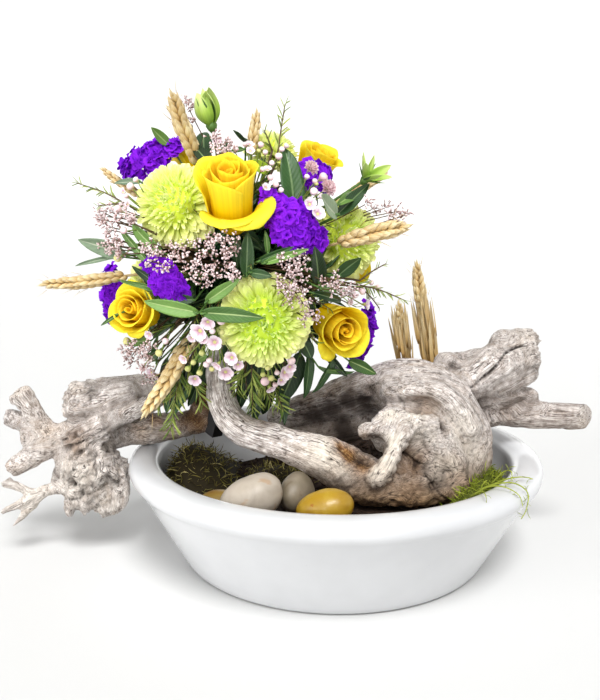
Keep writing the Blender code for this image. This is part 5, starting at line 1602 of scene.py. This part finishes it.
# wheat
# ear is its length and nodes the spikelets on a side; tip and stalk come from the solid model.
# blades are the straws round a standing stalk, and sheaf is where along it they start.
wheats = {
    "wheat_top": {"ear": 0.058, "nodes": 9, "plump": 1.15, "shift": (0.006, 0.0, 0.0), "seed": 61},
    "wheat_left": {"ear": 0.07, "nodes": 11, "plump": 0.95, "seed": 62},
    "wheat_low": {"ear": 0.078, "nodes": 10, "plump": 1.0, "seed": 63},
    "wheat_right": {"ear": 0.06, "nodes": 10, "plump": 1.28, "shift": (-0.002, 0.0, 0.007), "seed": 64},
    "wheat_small_left": {"ear": 0.044, "nodes": 8, "plump": 0.8, "seed": 65},
    "wheat_small_top": {"ear": 0.036, "nodes": 6, "plump": 0.9, "shift": (0.0, 0.0, -0.012), "seed": 66},
    "wheat_far_right": {"ear": 0.056, "nodes": 9, "plump": 0.9, "seed": 67},
    "wheat_standing_tall": {"ear": 0.052, "nodes": 7, "plump": 0.85, "seed": 68, "blades": 120,
                            "sheaf": (0.5, 0.72)},
    "wheat_standing_short": {"ear": 0.026, "nodes": 4, "plump": 0.7, "seed": 69, "blades": 56,
                             "sheaf": (0.6, 0.82)},
}
# awns: the share of husks that have one
wheatEars = {"stalk": 0.0012, "awns": 0.22, "tipHusks": 3, "pathSteps": 8}


def makeWheat(spec):
    # a husk is a pointed keel-shaped shell; three make a spikelet and spikelets alternate up the ear
    husk = turnedShape([(0, 0), (0.11, 0.05), (0.2, 0.2), (0.235, 0.4), (0.2, 0.62), (0.12, 0.82),
                        (0.035, 1), (0, 1.18)], 8, squash=0.62)
    husk = bentShape(husk, 0.45)
    awn = turnedShape([(0, 0), (0.02, 0.02), (0.012, 0.6), (0, 1)], 3)
    blade = bladeShape(columns=2, rows=7, length=1.0, width=0.085, foot=0.25, tip=0.8, base=0.5, curl=0.12,
                       cup=0.6, rounding=1.2, thickness=0.006)
    for node, part in spec.items():
        dice = np.random.default_rng(part["seed"])
        points = np.array([v.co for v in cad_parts[node].data.vertices])
        standingEar = "standing" in node
        root = points[points[:, 2].argmin()] if standingEar else foamCentre
        away = np.linalg.norm(points - root, axis=1)
        tip = points[away.argmax()] + part.get("shift", (0, 0, 0))
        foot = points[away < away.min() + 0.003].mean(0)
        start = tip + (foot - tip) * part["ear"] / np.linalg.norm(foot - tip)
        bow = np.cross(tip - start, (0.2, 0.9, 0.1))
        middle = (start + tip) / 2 + unit(bow) * part["ear"] * 0.02
        spine = smoothPath([foot, (foot + start) / 2, start, middle, tip], wheatEars["pathSteps"])
        along = spine[2 * wheatEars["pathSteps"]:]
        lengths = pathLengths(along)
        count = part["nodes"]
        spots = np.linspace(0.02, 0.9, count * 2) * lengths[-1]
        centres = np.column_stack([np.interp(spots, lengths, along[:, k]) for k in range(3)])
        ahead = unit(tip - start)
        seenInFront = standingEar or (start - foamCentre)[1] < 0.06
        view = (0.1, -1.0, 0.15) if seenInFront else (0, 1.0, 0.2)
        wide = unit(np.cross(ahead, view))
        flat = np.cross(wide, ahead)
        size = part["ear"] / count * 1.75 * part["plump"]
        taper = np.sin(np.pi * (0.2 + 0.7 * np.linspace(0, 1, count * 2))) ** 0.5
        pile = []
        for row in range(count * 2):
            side = 1 if row % 2 else -1
            for slant, lift in ((0.62, 0.1), (0.42, 1.0), (0.42, -1.0)):
                outward = unit(ahead + wide * side * slant + flat * lift * 0.32 + dice.normal(size=3) * 0.07)
                origin = centres[row] + wide * side * size * 0.08 + flat * lift * size * 0.1
                scale = size * taper[row] * dice.uniform(0.92, 1.1)
                pile.append((husk, standing(origin, outward, -wide * side, scale), dice.uniform(0, 0.7), 0))
                if dice.uniform() < wheatEars["awns"]:
                    places = standing(origin + outward * scale * 1.05, outward + dice.normal(size=3) * 0.1,
                                      wide, size * dice.uniform(0.5, 1.2))
                    pile.append((awn, places, 0.2, 0))
        for k in range(wheatEars["tipHusks"]):
            outward = unit(ahead + dice.normal(size=3) * 0.12)
            places = standing(centres[-1] + ahead * size * 0.1 * k, outward, flat, size * 0.75)
            pile.append((husk, places, 0.1, 0))
        for k in range(part.get("blades", 0)):  # a sheaf of dry straw wraps the standing stalks
            share = dice.uniform(*part["sheaf"])
            outward = unit(unit(tip - foot) + dice.normal(size=3) * 0.035)
            origin = foot + (tip - foot) * share + dice.normal(size=3) * (0.0036, 0.003, 0.001)
            places = standing(origin, outward, dice.normal(size=3) - (0, 0.6, 0),
                              dice.uniform(0.17, 0.23) * np.linalg.norm(tip - foot))
            pile.append((blade, places, dice.uniform(0.3, 1), 0))
        pile.append((tubeShape(spine, wheatEars["stalk"], 6), noMove, 0.5, 0))
        makePiece(node + "_ear", pile, ["straw"], [node])
    print("wheat")


# buds
buds = {
    "bud_top": {"face": (-30, 66), "petals": 5, "spread": 0.0, "wide": 1.55, "grow": 1.05, "seed": 71},
    "bud_right": {"face": (52, 44), "petals": 6, "spread": 0.36, "wide": 0.95, "grow": 0.86, "seed": 72},
}


def makeBuds(spec):
    for node, part in spec.items():
        dice = np.random.default_rng(part["seed"])
        stem, centre, turn, size = headPlace(node, part, *solidHeads["bud"])
        base = centre - turn[:, 2] * size * 1.15
        petal = bladeShape(columns=6, rows=12, length=2.9, width=part["wide"], foot=0.55, tip=0.75,
                           base=0.3, curl=1.15 - 2.2 * part["spread"], cup=0.75, thickness=0.03)
        sepal = bladeShape(columns=4, rows=10, length=2.3, width=0.42, foot=0.3, tip=1.2, base=0.5,
                           curl=0.85 - 1.9 * part["spread"], cup=0.4, thickness=0.03)
        angles = np.arange(part["petals"]) * 2 * math.pi / part["petals"]
        pile = []
        for shape, lean, number, shift in ((petal, 0.5, 0, 0), (sepal, 0.58, 1, 0.6)):
            outwards = around(angles + shift, np.full(len(angles), lean + part["spread"])) @ turn.T
            pile.append((shape, standing(base + outwards * size * 0.12, outwards, turn[:, 2],
                                         size * dice.uniform(0.9, 1.05, len(angles)), 0.35),
                         dice.uniform(0.1, 0.8, len(angles)), number))
        hip = turnedShape([(0, -0.45), (0.16, -0.4), (0.34, -0.15), (0.45, 0.15), (0.3, 0.4), (0, 0.5)], 12)
        pile.append((hip, whole(turn * size, base), 0.7, 1))
        pile.append((stemTube(stem, base, 0.0012), noMove, 0.5, 1))
        makePiece(node + "_green", pile, ["bud", "stem"], [node])
    print("buds")


# leaves
def placeSheet(base, tip, width, faceTo, shape):
    # a leaf shape stretched from its base to its tip, with its own width, facing outwards
    ahead = np.asarray(tip) - base
    length = np.linalg.norm(ahead)
    place = standing(base, ahead, faceTo, length)[0]
    place[:3, 1] *= width / (shape["width"] * length)
    return place[None]


def leafShapes(columns, rows):
    # a lance-shaped leaf, flatter and more bowed
    shapes = []
    for curl, wave in ((-0.35, 0.1), (-0.75, 0.16), (0.3, 0.12)):
        shape = bladeShape(columns=columns, rows=rows, length=1.0, width=0.28, foot=0.62, tip=0.85,
                           base=0.06, curl=curl, cup=0.42, rounding=1.2, wave=wave, waves=9.0,
                           thickness=0.008)
        shapes.append({**shape, "width": 0.28})
    return shapes


# each leaf in millimetres: its base, its tip, its width, and its colour
leaves = metres({
    "leaves_tall": [(-36, -80, 305, -36, -87, 358, 19.1, "leaf"),
        (-44, -69, 311, -55, -93, 324, 6.9, "leaf"), (-55, -80, 336, -66, -93, 345, 9.8, "youngLeaf")],
    "leaves_front": [(-104, -131, 235, -145, -135, 242, 11.6, "midLeaf"),
        (-103, -131, 235, -53, -145, 234, 11.5, "midLeaf"),
        (-100, -127, 242, -75, -142, 259, 9.3, "midLeaf"), (-108, -119, 243, -133, -119, 243, 7.4, "leaf"),
        (-136, -110, 251, -155, -112, 269, 6.7, "leaf"),
        (-131, -105, 247, -168, -106, 258, 4.5, "midLeaf")],
    "leaves_left": [(-161, -101, 274, -197, -99, 287, 12.8, "paleLeaf"),
        (-172, -79, 272, -205, -94, 268, 3.9, "paleLeaf"),
        (-133, -106, 276, -163, -106, 296, 11.2, "midLeaf"),
        (-144, -105, 268, -169, -101, 296, 6, "midLeaf"), (-161, -37, 330, -182, -44, 331, 6.5, "paleLeaf"),
        (-169, -99, 230, -184, -103, 221, 3.1, "midLeaf")],
    "leaves_right": [(-2, -77, 303, -21, -108, 319, 14.4, "paleLeaf"),
        (-3, -72, 311, 27, -31, 330, 8.8, "midLeaf"), (-3, -70, 303, 22, -30, 326, 11.3, "leaf"),
        (-58, -127, 270, -25, -134, 281, 5.7, "midLeaf"), (-62, -123, 271, -34, -127, 283, 5.1, "leaf"),
        (-68, -119, 263, -52, -127, 261, 7.3, "leaf"), (-17, -88, 251, -17, -116, 278, 13.6, "leaf"),
        (-2, -84, 257, 16, -92, 274, 11.6, "leaf"), (-71, -111, 259, -69, -118, 292, 11, "leaf"),
        (-55, -111, 276, -55, -120, 292, 4.4, "midLeaf"), (-23, -98, 246, 13, -77, 235, 7, "leaf"),
        (-19, -100, 251, 3, -98, 246, 4.6, "midLeaf")],
    "leaves_low_right": [(-31, -34, 188, -45, -50, 143, 20.4, "leaf"),
        (-24, -34, 188, -21, -49, 149, 9.4, "leaf"), (-2, -38, 187, -14, -49, 150, 7.6, "leaf"),
        (-16, -39, 177, 14, -48, 166, 5.9, "midLeaf"), (10, -41, 182, 35, -51, 173, 11, "midLeaf"),
        (-29, -75, 205, -21, -80, 191, 12, "leaf"), (-9, -36, 188, 8, -46, 168, 7.6, "leaf"),
        (-55, -68, 194, -62, -73, 175, 6.5, "leaf"), (-74, -36, 186, -83, -46, 136, 13, "leaf"),
        (-66, -38, 186, -71, -42, 127, 14, "leaf"), (-56, -36, 186, -59, -40, 124, 15, "leaf"),
        (-48, -30, 188, -47, -36, 124, 14, "leaf")],
    "leaves_top": [(-106, -55, 342, -112, -36, 381, 14.5, "leaf"),
        (-98, -81, 340, -116, -67, 361, 10, "leaf"), (-70, -42, 359, -84, -94, 359, 5.4, "leaf"),
        (-137, -35, 359, -152, -43, 373, 8.9, "midLeaf"), (-93, -53, 341, -91, -60, 364, 5.5, "leaf"),
        (-73, -73, 353, -82, -93, 355, 6.1, "midLeaf")],
    "leaves_low": [(-143, -76, 197, -167, -54, 178, 9, "midLeaf"),
        (-149, -79, 206, -168, -80, 204, 8, "midLeaf"), (-150, -48, 182, -146, -100, 206, 7.2, "midLeaf"),
        (-112, -92, 192, -96, -123, 206, 6.1, "midLeaf"), (-142, -44, 186, -148, -56, 158, 6.7, "leaf"),
        (-118, -30, 186, -137, -32, 130, 15, "leaf"), (-110, -28, 184, -128, -30, 135, 12, "leaf"),
        (-128, -34, 190, -145, -36, 132, 15, "leaf"), (-130, -32, 188, -152, -34, 131, 15, "leaf")],
})
leafNodes = {name: [name] for name in leaves if name not in ("leaves_top", "leaves_low")}
leafColours = ["leaf", "midLeaf", "paleLeaf", "youngLeaf", "stem"]
greenery = {"count": 225, "root": 0.036, "reach": (0.066, 0.098), "width": (0.008, 0.014), "seed": 81}
lowLeaves = {"count": 235, "root": 0.04, "reach": (0.078, 0.104), "width": (0.009, 0.014), "seed": 84}
backLeaves = {"count": 46, "root": 0.07, "reach": (0.105, 0.134), "width": (0.009, 0.013), "seed": 83}


def leafPile(rows, shapes, dice, towards=(0, 0, 0)):
    # towards turns the leaves' faces that way
    pile = []
    for *ends, width, colour in rows:
        base, tip = np.array(ends[:3]), np.array(ends[3:])
        outward = unit((base + tip) / 2 - foamCentre) + dice.normal(size=3) * 0.16 + towards
        shape = shapes[dice.integers(0, 3)]
        pile.append((shape, placeSheet(base, tip, width, outward, shape), dice.uniform(0, 1),
                     leafColours.index(colour)))
        root = foamCentre + unit(base - foamCentre) * 0.034
        stalk = tubeShape(smoothPath([root, (root + base) / 2 + dice.normal(size=3) * 0.002, base,
                                      base + (tip - base) * 0.1], 4), 0.0008, 5)
        pile.append((stalk, noMove, 0.5, 4))
    return pile


def randomLeaves(spec, where):
    # leaves that stand out of the foam: all round, low in front or at the back
    dice = np.random.default_rng(spec["seed"])
    rows = []
    for k in range(spec["count"]):
        height = 1 - 2 * (k + 0.5) / spec["count"]
        flat = math.sqrt(1 - height * height)
        out = np.array((flat * math.cos(k * golden), flat * math.sin(k * golden), height))
        out = unit(out + dice.normal(size=3) * 0.12)
        leftOut = {"around": height < -0.8, "low": not -0.85 < height < -0.12 or out[1] > 0.35,
                    "back": height < -0.8 or out[1] < 0.15}
        if leftOut[where]:
            continue
        across = unit(np.cross(out, dice.normal(size=3)))
        base = foamCentre + out * spec["root"]
        reach = dice.uniform(*spec["reach"])
        tip = foamCentre + unit(out + across * dice.uniform(0.25, 0.6)) * reach
        colour = "leaf" if where == "around" else ("leaf", "midLeaf", "leaf")[dice.integers(0, 3)]
        rows.append((*base, *tip, dice.uniform(*spec["width"]), colour))
    return rows


def makeLeaves(spec):
    shapes, coarse = leafShapes(8, 14), leafShapes(4, 6)
    dice = np.random.default_rng(85)
    for name, rows in spec.items():
        pile = leafPile(rows, shapes, dice, (0, -0.9, 0.1))
        makePiece(name + "_sprig", pile, leafColours, leafNodes.get(name, []))
    base = leafPile(randomLeaves(greenery, "around") + randomLeaves(lowLeaves, "low"), coarse, dice)
    makePiece("greenery_base", base, leafColours, [])
    back = leafPile(randomLeaves(backLeaves, "back"), coarse, dice)
    makePiece("leaves_low_back_sprig", back, leafColours, ["leaves_low_back"])
    print("leaves")


# waxflower: pink buds, small open flowers and needle leaves, as (kind, x, y, z, size) in millimetres
waxColours = ["wax", "pinkBud", "greenBud", "needle", "twig"]
sprigStem = 0.0011
innerNeedles = {"sprays": 7, "pairs": 7, "length": 0.011, "reach": (0.095, 0.112)}
waxflowers = metres({
    "waxflower_top": [("bud", -61, -84, 356, 5.3), ("open", -69, -86, 356, 6), ("bud", -72, -87, 356, 4.5),
        ("bud", -57, -91, 350, 4.5), ("bud", -45, -80, 353, 4.6), ("bud", -47, -89, 347, 6),
        ("bud", -52, -97, 342, 4.5), ("bud", -59, -105, 337, 4.4), ("bud", -53, -108, 331, 5.1),
        ("bud", -49, -110, 326, 5.1), ("bud", -45, -111, 322, 4.4), ("open", -56, -114, 324, 5.8),
        ("green", -62, -92, 351, 3.7), ("bud", -42, -73, 356, 4.6), ("open", -55, -103, 337, 5.9),
        ("open", -93, -85, 358, 6.8), ("bud", -86, -93, 352, 4.5), ("bud", -79, -93, 352, 4.5),
        ("open", -68, -93, 351, 6)],
    "waxflower_top_right": [("fringe", -23, -82, 339, 11.4), ("bud", -14, -81, 332, 7.7),
        ("fringe", -10, -83, 324, 13), ("bud", -21, -98, 321, 6.7), ("green", -19, -90, 327, 3.8),
        ("bud", -20, -90, 329, 4.5), ("open", -24, -106, 312, 8.9), ("open", -18, -105, 305, 9.6),
        ("bud", -15, -95, 318, 4.5), ("bud", -26, -93, 332, 4.5)],
    "waxflower_low": [("open", -104, -127, 221, 12.5), ("open", -98, -130, 228, 9.5),
        ("bud", -88, -131, 229, 6.5), ("open", -94, -124, 212, 10.3), ("bud", -95, -128, 221, 5.1),
        ("green", -88, -128, 220, 4.4), ("green", -117, -103, 188, 5.4), ("green", -112, -110, 194, 4.6),
        ("green", -108, -103, 185, 5.4), ("open", -113, -95, 178, 9.4), ("bud", -102, -111, 193, 5.3),
        ("green", -98, -109, 189, 4.6), ("open", -88, -107, 186, 10.7), ("open", -82, -117, 199, 9.8),
        ("bud", -99, -115, 197, 5.3), ("open", -78, -113, 193, 7.6), ("open", -93, -113, 193, 8.3),
        ("green", -104, -118, 203, 5.2), ("open", -119, -110, 197, 6.8), ("open", -102, -125, 215, 7.4),
        ("open", -111, -122, 215, 5.9)],
    "waxflower_low_right": [("bud", -59, -93, 176, 7.8), ("green", -60, -102, 183, 4.6),
        ("green", -54, -96, 179, 5.5), ("bud", -49, -98, 184, 4.7), ("open", -43, -94, 183, 10.9),
        ("open", -46, -87, 175, 7.1), ("bud", -38, -102, 194, 6.9), ("open", -39, -97, 188, 8.6),
        ("open", -55, -80, 167, 7.2), ("bud", -51, -84, 171, 4.8), ("green", -56, -105, 189, 4.6)],
    "waxflower_left": [("bud", -158, -94, 325, 6), ("open", -165, -89, 321, 6.1),
        ("bud", -167, -97, 308, 6.8), ("bud", -161, -96, 318, 4.5), ("bud", -161, -109, 293, 5.9),
        ("green", -166, -109, 273, 6.7), ("bud", -154, -93, 330, 4.5), ("open", -159, -102, 312, 5.2)],
    "waxflower_low_left": [("green", -169, -74, 204, 7.2), ("bud", -160, -92, 213, 5.4),
        ("green", -139, -102, 200, 6.2), ("bud", -132, -112, 211, 5.3), ("open", -145, -107, 215, 6.8),
        ("bud", -162, -53, 178, 5.8), ("open", -155, -52, 174, 7.5)],
    "waxflower_right": [("bud", 12, -82, 242, 4.7), ("bud", 18, -72, 244, 5.6), ("open", 23, -51, 231, 8.2),
        ("bud", 34, -33, 243, 6.8), ("bud", 27, -50, 249, 4.9), ("bud", 8, -86, 237, 4.7)],
})
# each needle spray: its foot, its tip and its needles' length in millimetres, and how many pairs it has
needleSprays = {
    "waxflower_left": [(-161, -73, 309, -209, -56, 329, 12.6, 15),
        (-163, -81, 312, -184, -91, 311, 9.2, 7)],
    "waxflower_top": [(-49, -51, 350, -43, -35, 392, 14.5, 11), (-53, -56, 354, -59, -63, 369, 11, 5)],
    "waxflower_right": [(11, -60, 249, 57, -42, 233, 12.3, 15), (18, -54, 251, 39, -56, 265, 8.1, 6),
        (19, -60, 245, 36, -37, 226, 9.9, 6)],
    "waxflower_low": [(-131, -43, 181, -138, -66, 130, 23, 18), (-127, -43, 178, -113, -53, 147, 20, 12),
        (-134, -45, 178, -149, -60, 149, 19, 12)],
    "waxflower_low_right": [(-71, -60, 183, -71, -51, 140, 23, 15), (-75, -63, 183, -86, -47, 152, 21, 12),
        (-67, -37, 175, -55, -48, 146, 21, 12), (-58, -39, 168, -45, -51, 141, 18, 10)],
}


def waxShapes():
    # each kind is a list of (shape, number of its colour), one unit across
    bud = turnedShape([(0, -0.62), (0.1, -0.58), (0.2, -0.3), (0.36, -0.1), (0.48, 0.14), (0.44, 0.36),
                       (0.26, 0.5), (0, 0.54)], 10)
    petal = bladeShape(columns=6, rows=6, length=0.52, width=0.54, foot=0.6, tip=0.3, base=0.2, curl=0.45,
                       cup=0.35, blunt=1.8, thickness=0.02)
    fringe = bladeShape(columns=4, rows=5, length=0.56, width=0.26, foot=0.8, tip=0.2, base=0.2, curl=0.5,
                        cup=0.9)
    cup = turnedShape([(0, -0.42), (0.08, -0.38), (0.14, -0.16), (0.2, -0.02), (0.13, 0.05), (0, 0.03)], 10)
    five = np.arange(5) * 2 * math.pi / 5
    flat = around(five, np.full(5, 1.32))
    opened = standing(flat * 0.1, flat, (0, 0, 1), 1.0)
    tufts = np.arange(34)
    outwards = around(tufts * golden, np.sqrt((tufts + 0.5) / len(tufts)) * 1.75)
    ruffle = standing(outwards * 0.04, outwards, (0, 0, 1), 1.0)
    return {
        "bud": [(bud, noMove, 1)],
        "green": [(bud, noMove, 2)],
        "open": [(petal, opened, 0), (cup, noMove, 2)],
        "fringe": [(fringe, ruffle, 1), (cup, noMove, 2)],
    }


def needlePile(foot, tip, count, length, needle, dice):
    # a thin twig with needles that stand off it forwards in pairs
    ahead = unit(tip - foot)
    bow = np.array((0, 0, -1.0)) * np.linalg.norm(tip - foot) * 0.04
    path = smoothPath([foot, (foot + tip) / 2 - bow, tip], 8)
    pile = [(tubeShape(path, np.linspace(0.0008, 0.0004, len(path)), 5), noMove, 0.4, 4)]
    share = np.linspace(0.1, 1.0, count * 2)
    spots = np.column_stack([np.interp(share, np.linspace(0, 1, len(path)), path[:, k]) for k in range(3)])
    side = unit(np.cross(ahead, dice.normal(size=(count * 2, 3))))
    lean = ahead * 0.85 + side * dice.uniform(0.3, 0.75, (count * 2, 1))
    sizes = length * dice.uniform(0.7, 1.1, count * 2) * (1 - 0.35 * share)
    pile.append((needle, standing(spots, lean, side, sizes), dice.uniform(0, 1, count * 2), 3))
    return pile


def makeWaxflowers(spec):
    shapes = waxShapes()
    needle = turnedShape([(0, 0), (0.04, 0.03), (0.058, 0.4), (0.044, 0.8), (0, 1)], 4, squash=0.4)
    needle = bentShape(needle, 0.25)
    for number, (name, rows) in enumerate(spec.items()):
        dice = np.random.default_rng(90 + number)
        places = np.array([row[1:4] for row in rows])
        fork = foamCentre + unit(places.mean(0) - foamCentre) * 0.08
        pile = [(stemTube(unit(fork - foamCentre), fork, sprigStem), noMove, 0.4, 4)]
        for kind, *place, size in rows:
            place = np.array(place)
            outward = unit(unit(place - foamCentre) + np.array((0, -0.35, 0.15)) + dice.normal(size=3) * 0.25)
            spot = standing(place, outward, dice.normal(size=3), size * (1.05 if kind == "open" else 1.0))
            for shape, inner, colour in shapes[kind]:
                pile.append((shape, spot @ inner, dice.uniform(0, 0.8, len(inner)), colour))
            end = place - outward * size * 0.4
            middle = (fork + end) / 2 + unit(end - foamCentre) * 0.003
            pile.append((tubeShape(smoothPath([fork, middle, end], 4), 0.0005, 4), noMove, 0.3, 3))
        for *lengths, count in needleSprays.get(name, []):
            *ends, length = metres(lengths)
            foot, tip = np.array(ends[:3]), np.array(ends[3:])
            pile += needlePile(foot, tip, count, length, needle, dice)
            root = foamCentre + unit(foot - foamCentre) * 0.036
            pile.append((tubeShape([root, foot], 0.0009, 5), noMove, 0.3, 4))
        for _ in range(innerNeedles["sprays"]):
            away = unit(unit(fork - foamCentre) + dice.normal(size=3) * 0.45)
            tip = foamCentre + away * dice.uniform(*innerNeedles["reach"])
            pile += needlePile(foamCentre + away * 0.06, tip, innerNeedles["pairs"], innerNeedles["length"],
                               needle, dice)
        nodes = [name] if name != "waxflower_right" else []
        makePiece(name + "_sprig", pile, waxColours, nodes)
    print("waxflower")


# sea lavender: sprays of tiny papery florets on brown twigs, as the place of each tuft in millimetres
lavenders = metres({
    "sea_lavender_centre": [(-143, -119, 281), (-138, -121, 284), (-132, -126, 275), (-124, -128, 280),
        (-118, -130, 282), (-128, -128, 267), (-122, -130, 271), (-115, -132, 272), (-108, -134, 267),
        (-102, -135, 270), (-98, -136, 265), (-92, -136, 272), (-86, -136, 277), (-82, -137, 272),
        (-77, -137, 268), (-74, -137, 262), (-104, -133, 284), (-96, -134, 286), (-91, -134, 287),
        (-84, -134, 289), (-76, -134, 287), (-94, -135, 280), (-86, -135, 283), (-105, -135, 260),
        (-98, -136, 258), (-91, -137, 262), (-81, -137, 262), (-139, -122, 278), (-112, -133, 276),
        (-140, -122, 271), (-99, -135, 279), (-79, -135, 280)],
    "sea_lavender_right": [(-43, -129, 271), (-38, -127, 274), (-33, -125, 271), (-28, -122, 274),
        (-41, -129, 265), (-35, -126, 267), (-30, -124, 265), (-43, -129, 258), (-38, -127, 260),
        (-32, -125, 258), (-41, -128, 251), (-35, -126, 252), (-30, -123, 249), (-40, -127, 245),
        (-34, -125, 246), (-29, -121, 241), (-24, -117, 236), (-21, -113, 230), (-27, -116, 229),
        (-10, -110, 255), (-4, -105, 256), (3, -98, 251), (8, -91, 247), (5, -93, 243), (-7, -107, 249),
        (-1, -100, 245), (-44, -130, 254)],
    "sea_lavender_left": [(-183, -80, 306), (-177, -92, 303), (-173, -94, 306), (-178, -93, 296),
        (-172, -102, 293), (-168, -103, 299), (-161, -109, 302), (-155, -114, 299), (-173, -102, 287),
        (-168, -108, 286), (-164, -113, 282), (-175, -102, 281), (-167, -110, 279), (-162, -115, 276),
        (-152, -117, 298), (-158, -109, 307), (-181, -87, 300), (-170, -107, 282)],
    "sea_lavender_low_left": [(-176, -53, 191), (-171, -53, 188), (-159, -86, 199), (-151, -98, 205),
        (-149, -96, 199), (-157, -80, 192), (-169, -54, 183), (-149, -91, 194), (-167, -78, 201),
        (-156, -70, 183), (-156, -97, 209), (-144, -104, 206), (-147, -67, 174), (-156, -55, 168)],
    "sea_lavender_back": [(-95, -93, 359), (-90, -97, 356), (-85, -101, 353), (-81, -105, 350),
        (-93, -103, 351), (-88, -108, 347), (-125, -41, 391), (-123, -38, 382), (-120, -39, 387),
        (-116, -55, 374), (-120, -62, 371), (38, -32, 309), (42, -33, 303), (47, -35, 306), (52, -36, 299),
        (45, -34, 298), (55, -37, 303), (21, -58, 312), (29, -30, 308)],
})
lavenderTufts = {"spikes": 4, "florets": 5, "spike": 0.0062, "floret": 0.0023, "extraAtBack": 26}


def makeLavenders(spec):
    floret = turnedShape([(0, 0), (0.16, 0.15), (0.2, 0.6), (0.38, 1.0), (0, 0.86)], 5)
    for number, (name, tufts) in enumerate(spec.items()):
        dice = np.random.default_rng(110 + number)
        tufts = np.array(tufts)
        if name == "sea_lavender_back":
            extra = lavenderTufts["extraAtBack"]
            away = np.column_stack((dice.normal(size=extra) * 0.8, np.abs(dice.normal(size=extra)) + 0.3,
                                    dice.normal(size=extra) * 0.7))
            tufts = np.vstack((tufts, foamCentre + unit(away) * dice.uniform(0.1, 0.118, (extra, 1))))
        fork = foamCentre + unit(tufts.mean(0) - foamCentre) * 0.07
        pile = [(stemTube(unit(fork - foamCentre), fork, sprigStem), noMove, 0.4, 1)]
        for tuft in tufts:
            outward = unit(tuft - foamCentre)
            start = foamCentre + outward * 0.045
            middle = start * 0.45 + tuft * 0.55 + dice.normal(size=3) * 0.003
            pile.append((tubeShape(smoothPath([start, middle, tuft], 4), np.linspace(0.0007, 0.0004, 9), 4),
                         noMove, 0.4, 1))
            for _ in range(lavenderTufts["spikes"]):
                heading = unit(outward * 0.8 + dice.normal(size=3) * 0.75 + (0, 0, 0.25))
                count = lavenderTufts["florets"]
                share = np.linspace(0.1, 1.0, count)[:, None]
                side = dice.normal(size=(count, 3))
                spots = tuft + heading * lavenderTufts["spike"] * share + side * 0.0006
                sizes = lavenderTufts["floret"] * dice.uniform(0.75, 1.25, count)
                pile.append((floret, standing(spots, heading + side * 0.55, side[:, ::-1], sizes),
                             dice.beta(0.8, 1.2, count), 0))
        makePiece(name + "_sprig", pile, ["lavender", "twig"], [name])
    print("sea lavender")


# the holder and the foam keep their solids' shape
def coverSolids():
    for node, finish in (("bouquet_holder", "plastic"), ("foam_ball", "foam")):
        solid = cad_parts[node]
        for slot in solid.material_slots:
            slot.material = finishes[finish]
    print("holder and foam")


makeStudio(studio)
makeBowl(bowl)
makeSoil(soil)
makePebbles(pebbles)
makeMosses(mosses)
makeDriftwood(driftwood)
makeRoses(roses)
makeMums(mums)
makeStatice(statices)
makeWheat(wheats)
makeBuds(buds)
makeLeaves(leaves)
makeWaxflowers(waxflowers)
makeLavenders(lavenders)
coverSolids()
